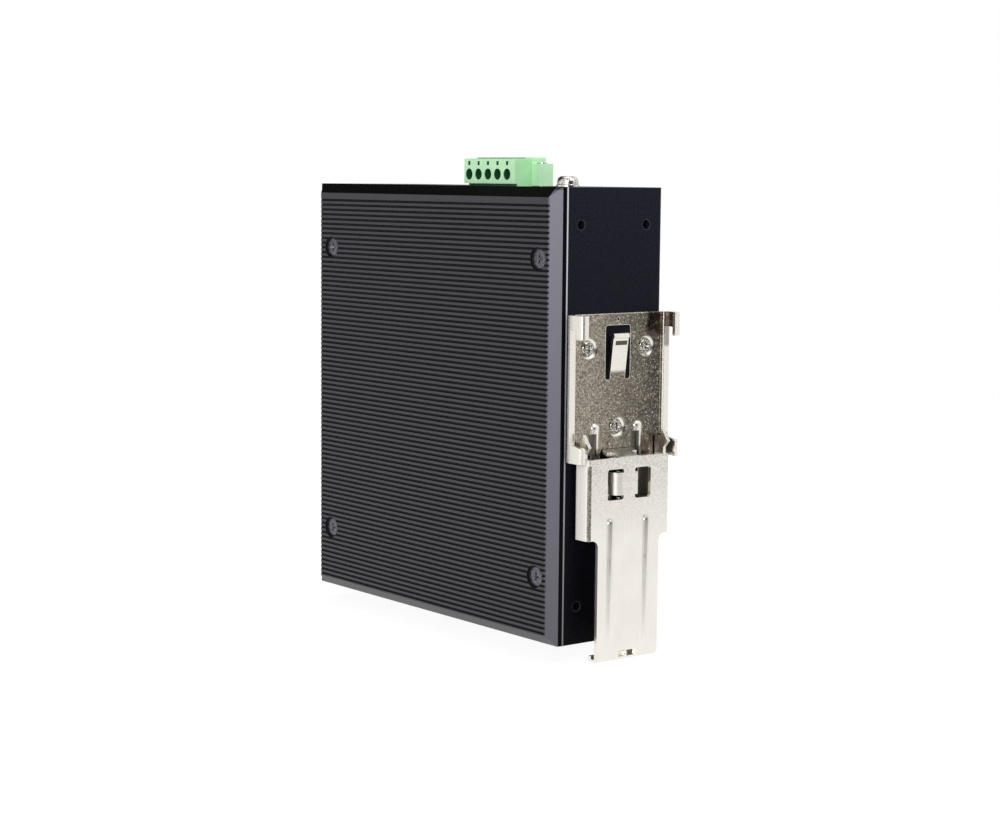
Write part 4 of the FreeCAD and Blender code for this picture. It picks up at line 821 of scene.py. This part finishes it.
def screw_master(name, head_r, head, shank_r, length, arm, recess, countersunk):
    """One cross-recessed screw along +Z whose head starts at zero, as an object to copy and remove."""
    if countersunk:
        sides = [(shank_r, 0), (head_r, head * 0.9), (head_r, head * 0.97), (head_r * 0.97, head)]
    else:
        rise, rest = head * 0.35, head * 0.65
        sides = [(shank_r, 0), (head_r * 0.97, 0), (head_r, head * 0.06), (head_r, rise)]
        for step in range(1, 8):
            angle = math.radians(90 * step / 8)
            sides.append((head_r * (0.5 + 0.5 * math.cos(angle)), rise + rest * math.sin(angle)))
    tip = [(0, -length), (shank_r * 0.8, -length), (shank_r, -length * 0.93)]
    profile = tip + sides + [(0, sides[-1][1])]
    body = bpy.data.objects.new(name, turned_mesh(name, profile))
    tool = bpy.data.objects.new(name + "_recess", cross_mesh(name + "_recess", arm, arm * 0.24,
                                                             head - recess, head * 1.5))
    for thing in (body, tool):
        bpy.context.scene.collection.objects.link(thing)
    boolean = body.modifiers.new("recess", "BOOLEAN")
    boolean.object = tool
    boolean.operation = "DIFFERENCE"
    boolean.solver = "EXACT"
    bpy.context.view_layer.update()
    ready = body.evaluated_get(bpy.context.evaluated_depsgraph_get())
    final = bpy.data.meshes.new_from_object(ready)
    body.modifiers.clear()
    body.data = final
    bpy.data.objects.remove(tool)
    return body


def screws(part, axis, side, head_mm, recess_mm, countersunk):
    """Screws where a CAD node has them; side +1 puts the heads at the axis's high end."""
    boxes = islands(part)
    low, high = boxes[0]
    across = [i for i in range(3) if i != axis]
    head_r = (high[across[0]] - low[across[0]]) / 2
    length = (high[axis] - low[axis]) - head_mm * MM
    master = screw_master(part + "_master", head_r, head_mm * MM, SCREW_RADIUS * MM, length,
                          head_r * 0.55, recess_mm * MM, countersunk)
    points = []
    for low, high in boxes:
        point = (low + high) / 2
        point[axis] = high[axis] - head_mm * MM if side > 0 else low[axis] + head_mm * MM
        points.append(point)
    aim = Vector([side if i == axis else 0 for i in range(3)])
    turn = aim.to_track_quat("Z", "Y").to_euler()
    grown(part, copies_plan(), {"Object": master, "Turn": turn, "Finish": finish_for(part)}, points)
    bpy.data.objects.remove(master)


# ---------------------------------------------------------------- sizes and operators

class SwitchLook(bpy.types.PropertyGroup):
    """Sizes in millimetres and colours that a user would change"""
    case_edge: FloatProperty(name="Case edge", description="Rounding of the coated case's edges",
                             default=0.25, min=0)
    clip_edge: FloatProperty(name="Clip edge", description="Rounding of the stamped edges", default=0.15,
                             min=0)
    plug_edge: FloatProperty(name="Plug edge", description="Rounding of the moulded edges", default=0.15,
                             min=0)
    rib_pitch: FloatProperty(name="Rib pitch", description="From one rib to the next", default=1.7,
                             min=0.5)
    groove_wide: FloatProperty(name="Groove width", description="Across a groove's mouth", default=0.9)
    groove_floor: FloatProperty(name="Groove floor", description="Across a groove's floor", default=0.3)
    groove_depth: FloatProperty(name="Groove depth", description="Below the ribs' tops", default=0.45)
    spring_turns: IntProperty(name="Spring turns", description="Turns of the return spring", default=9)
    wire_thick: FloatProperty(name="Wire", description="The spring wire's diameter", default=0.7)
    coat: FloatVectorProperty(name="Powder coat", description="Colour of the case", subtype="COLOR",
                              default=linear("#0c0d13")[:3], min=0, max=1)
    cover: FloatVectorProperty(name="Cover", description="Colour of the anodised cover", subtype="COLOR",
                               default=linear("#1f1e24")[:3], min=0, max=1)
    base: FloatVectorProperty(name="Clip base", description="Colour of the clip's tumbled web",
                              subtype="COLOR", default=linear("#918a7e")[:3], min=0, max=1)
    # The colour of the painted highlights on the clip's folds and edges.
    rubbed: FloatVectorProperty(name="Clip edges", description="Colour of the clip's rubbed folds",
                                subtype="COLOR", default=linear("#f2ede4")[:3], min=0, max=1)
    slider: FloatVectorProperty(name="Slider", description="Colour of the satin slider", subtype="COLOR",
                                default=linear("#f1ede5")[:3], min=0, max=1)
    plug: FloatVectorProperty(name="Plug", description="Colour of the plug and its header",
                              subtype="COLOR",
                              default=linear("#cafccb")[:3], min=0, max=1)
    # The colour of the painted highlights on the case's edges and bend.
    coat_highlight: FloatVectorProperty(name="Worn coat", description="Colour of the case's edges",
                                   subtype="COLOR", default=linear("#9d9ba5")[:3], min=0, max=1)
    lamp_power: FloatProperty(name="Lamp power", description="Watts of the main lamp", default=6.0, min=0)


class RAILSWITCH_OT_case(bpy.types.Operator):
    """Coated case and front panel with softened edges"""
    bl_idname = "railswitch.case"
    bl_label = "Case"

    def execute(self, context):
        for part in ("case_shell", "front_panel"):
            dressed(part, context.scene.rail_switch.case_edge)
        return {"FINISHED"}


class RAILSWITCH_OT_cover(bpy.types.Operator):
    """Ribbed aluminium cover, grown from its rule"""
    bl_idname = "railswitch.cover"
    bl_label = "Ribbed cover"

    def execute(self, context):
        look = context.scene.rail_switch
        low, high = (Vector(corner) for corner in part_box("ribbed_cover"))
        size = high - low
        ribs = int((size.z - 2 * size.x) / (look.rib_pitch * MM) + 1e-6)
        points = [(low.x, (a.y + b.y) / 2, (a.z + b.z) / 2) for a, b in islands("cover_screws")]
        grown("ribbed_cover", ribbed_plate_plan(), {
            "Corner": low, "Long": size.y, "Tall": size.z, "Thick": size.x, "Pitch": look.rib_pitch * MM,
            "Groove": look.groove_wide * MM, "Groove Floor": look.groove_floor * MM,
            "Groove Depth": look.groove_depth * MM, "Ribs": ribs, "Recess Radius": RECESS_RADIUS * MM,
            "Recess Side": RECESS_SIDE * MM, "Head Depth": HEAD_DEPTH * MM,
            "Hole Radius": HOLE_RADIUS * MM,
            "Finish": finish_for("ribbed_cover")}, points, smooth_degrees=15)
        return {"FINISHED"}


class RAILSWITCH_OT_clip(bpy.types.Operator):
    """Plated clip base, slider and spring"""
    bl_idname = "railswitch.clip"
    bl_label = "Rail clip"

    def execute(self, context):
        look = context.scene.rail_switch
        for part in ("clip_base", "clip_slider"):
            dressed(part, look.clip_edge)
        low, high = (Vector(corner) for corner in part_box("clip_spring"))
        wire = look.wire_thick / 2 * MM
        foot = ((low.x + high.x) / 2, (low.y + high.y) / 2, low.z + wire)
        grown("clip_spring", coil_plan(), {
            "Turns": float(look.spring_turns), "Radius": (high.x - low.x) / 2 - wire,
            "Height": high.z - low.z - 2 * wire, "Wire Radius": wire, "Finish": finish_for("clip_spring")},
            [foot], smooth_degrees=60)
        return {"FINISHED"}


class RAILSWITCH_OT_plug(bpy.types.Operator):
    """Green power plug and its header"""
    bl_idname = "railswitch.plug"
    bl_label = "Power plug"

    def execute(self, context):
        look = context.scene.rail_switch
        for part in ("terminal_plug", "terminal_header"):
            dressed(part, look.plug_edge)
        for part in ("wire_clamps", "clamp_screws", "flange_screws", "header_pins"):
            dressed(part, 0.05)
        return {"FINISHED"}


class RAILSWITCH_OT_screws(bpy.types.Operator):
    """Screws of the cover, clip, panel, board and ground terminal"""
    bl_idname = "railswitch.screws"
    bl_label = "Screws"

    def execute(self, context):
        for row in SCREWS:
            screws(*row)
        dressed("ground_washer", 0.08)
        return {"FINISHED"}


class RAILSWITCH_OT_sockets(bpy.types.Operator):
    """Network sockets, their shell and contacts, and the panel lights"""
    bl_idname = "railswitch.sockets"
    bl_label = "Sockets and lights"

    def execute(self, context):
        for part in ("jack_block", "jack_shell", "light_pipes", "indicator_leds"):
            dressed(part, 0.05)
        bars = islands("jack_contacts")
        grown("jack_contacts", blocks_plan(), {
            "Size": bars[0][1] - bars[0][0], "Finish": finish_for("jack_contacts")},
            [(low + high) / 2 for low, high in bars])
        return {"FINISHED"}


class RAILSWITCH_OT_inside(bpy.types.Operator):
    """Circuit board and the parts on it"""
    bl_idname = "railswitch.inside"
    bl_label = "Inside"

    def execute(self, context):
        for part in ("circuit_board", "board_spacers", "switch_chip", "thermal_pad", "magnetics",
                     "capacitors", "inductor", "relay"):
            dressed(part, 0.1)
        return {"FINISHED"}


class RAILSWITCH_OT_stage(bpy.types.Operator):
    """Pale floor, soft lamps and the camera"""
    bl_idname = "railswitch.stage"
    bl_label = "Stage"

    def execute(self, context):
        make_floor(CAD_BOX[0][2] - FLOOR_GAP)
        make_world()
        make_lamps(context.scene.rail_switch.lamp_power)
        make_camera()
        return {"FINISHED"}


def camera_white(tree, shader, share, strength):
    """Adds plain white to a shader for rays from the camera, mirrors and glass, by a share."""
    path = node(tree, "ShaderNodeLightPath")
    seen = maths(tree, "MAXIMUM", path.outputs["Is Camera Ray"], path.outputs["Is Glossy Ray"])
    seen = maths(tree, "MAXIMUM", seen, path.outputs["Is Transmission Ray"])
    white = node(tree, "ShaderNodeEmission", {"Color": (1, 1, 1, 1), "Strength": strength})
    return node(tree, "ShaderNodeMixShader", {
        0: scaled(tree, seen, share), 1: shader, 2: white.outputs[0]}).outputs[0]


def make_floor(height):
    mesh = bpy.data.meshes.new("floor")
    turns = [math.radians(a) for a in range(0, 360, 5)]
    corners = [(FLOOR_RADIUS * math.cos(a), FLOOR_RADIUS * math.sin(a), height) for a in turns]
    mesh.from_pydata(corners, [], [tuple(range(len(corners)))])
    floor = bpy.data.objects.new("floor", mesh)
    bpy.context.scene.collection.objects.link(floor)
    paint = bpy.data.materials.new("white_sweep")
    paint.use_nodes = True
    tree = paint.node_tree
    tree.nodes.clear()
    diffuse = node(tree, "ShaderNodeBsdfDiffuse", {"Color": linear("#f6f6f6")}).outputs[0]
    node(tree, "ShaderNodeOutputMaterial", {"Surface": camera_white(tree, diffuse, 0.85, 1.1)})
    mesh.materials.append(paint)


def make_world():
    """White all round for the camera; glossy surfaces also see two dark studio flags."""
    world = bpy.data.worlds.new("studio")
    bpy.context.scene.world = world
    world.use_nodes = True
    world.cycles.sampling_method = "NONE"
    tree = world.node_tree
    tree.nodes.clear()
    path = node(tree, "ShaderNodeLightPath")
    way = node(tree, "ShaderNodeTexCoord").outputs["Generated"]
    shine = 1.0
    for aim, inner, outer, dark in FLAGS:
        near = node(tree, "ShaderNodeVectorMath", {0: way, 1: Vector(aim).normalized()},
                    operation="DOT_PRODUCT").outputs["Value"]
        flag = node(tree, "ShaderNodeMapRange", {
            "Value": near, "From Min": math.cos(math.radians(outer)),
            "From Max": math.cos(math.radians(inner)), "To Min": 1.0, "To Max": dark},
            interpolation_type="SMOOTHSTEP").outputs["Result"]
        shine = scaled(tree, shine, flag)
    plain = maths(tree, "MAXIMUM", path.outputs["Is Camera Ray"], path.outputs["Is Transmission Ray"])
    level = maths(tree, "MAXIMUM", plain, scaled(tree, path.outputs["Is Glossy Ray"], shine))
    soft = scaled(tree, path.outputs["Is Diffuse Ray"], 0.5)
    strength = maths(tree, "MAXIMUM", level, soft)
    light = node(tree, "ShaderNodeBackground", {"Color": (1, 1, 1, 1), "Strength": strength})
    node(tree, "ShaderNodeOutputWorld", {"Surface": light.outputs[0]})


def lamp(name, place, aim, width, height, power):
    light = bpy.data.lights.new(name, "AREA")
    light.shape = "RECTANGLE"
    light.size, light.size_y = width, height
    light.energy = power
    thing = bpy.data.objects.new(name, light)
    thing.location = place
    thing.rotation_euler = (Vector(aim) - Vector(place)).to_track_quat("-Z", "Y").to_euler()
    bpy.context.scene.collection.objects.link(thing)


def make_lamps(power):
    for *given, share in LAMPS:
        lamp(*given, power * share)


def make_camera():
    data = bpy.data.cameras.new("camera")
    data.sensor_width = SENSOR
    data.lens = SENSOR * FOCAL_SHARE
    thing = bpy.data.objects.new("camera", data)
    turn = Matrix.Rotation(math.radians(HEADING), 4, "Z")
    turn = turn @ Matrix.Rotation(math.radians(90 - DIP), 4, "X")
    turn = turn @ Matrix.Rotation(ROLL_RADIANS, 4, "Z")
    thing.matrix_world = Matrix.Translation(CAMERA_PLACE) @ turn
    bpy.context.scene.collection.objects.link(thing)
    bpy.context.scene.camera = thing


class RAILSWITCH_PT_panel(bpy.types.Panel):
    """Lists the steps that dress the switch"""
    bl_idname = "RAILSWITCH_PT_panel"
    bl_label = "Rail Switch"
    bl_space_type = "VIEW_3D"
    bl_region_type = "UI"
    bl_category = "Rail Switch"

    def draw(self, context):
        for operator in OPERATORS:
            self.layout.operator(operator.bl_idname)


OPERATORS = (RAILSWITCH_OT_case, RAILSWITCH_OT_cover, RAILSWITCH_OT_clip, RAILSWITCH_OT_plug,
             RAILSWITCH_OT_screws, RAILSWITCH_OT_sockets, RAILSWITCH_OT_inside, RAILSWITCH_OT_stage)
CLASSES = (SwitchLook,) + OPERATORS + (RAILSWITCH_PT_panel,)


def register():
    for cls in CLASSES:
        bpy.utils.register_class(cls)
    bpy.types.Scene.rail_switch = PointerProperty(type=SwitchLook)


def unregister():
    del bpy.types.Scene.rail_switch
    for cls in reversed(CLASSES):
        bpy.utils.unregister_class(cls)


def main():
    register()
    bpy.ops.railswitch.case()
    bpy.ops.railswitch.cover()
    bpy.ops.railswitch.clip()
    bpy.ops.railswitch.plug()
    bpy.ops.railswitch.screws()
    bpy.ops.railswitch.sockets()
    bpy.ops.railswitch.inside()
    bpy.ops.railswitch.stage()
    bpy.context.scene.view_settings.view_transform = "Standard"


if __name__ == "__main__":
    main()
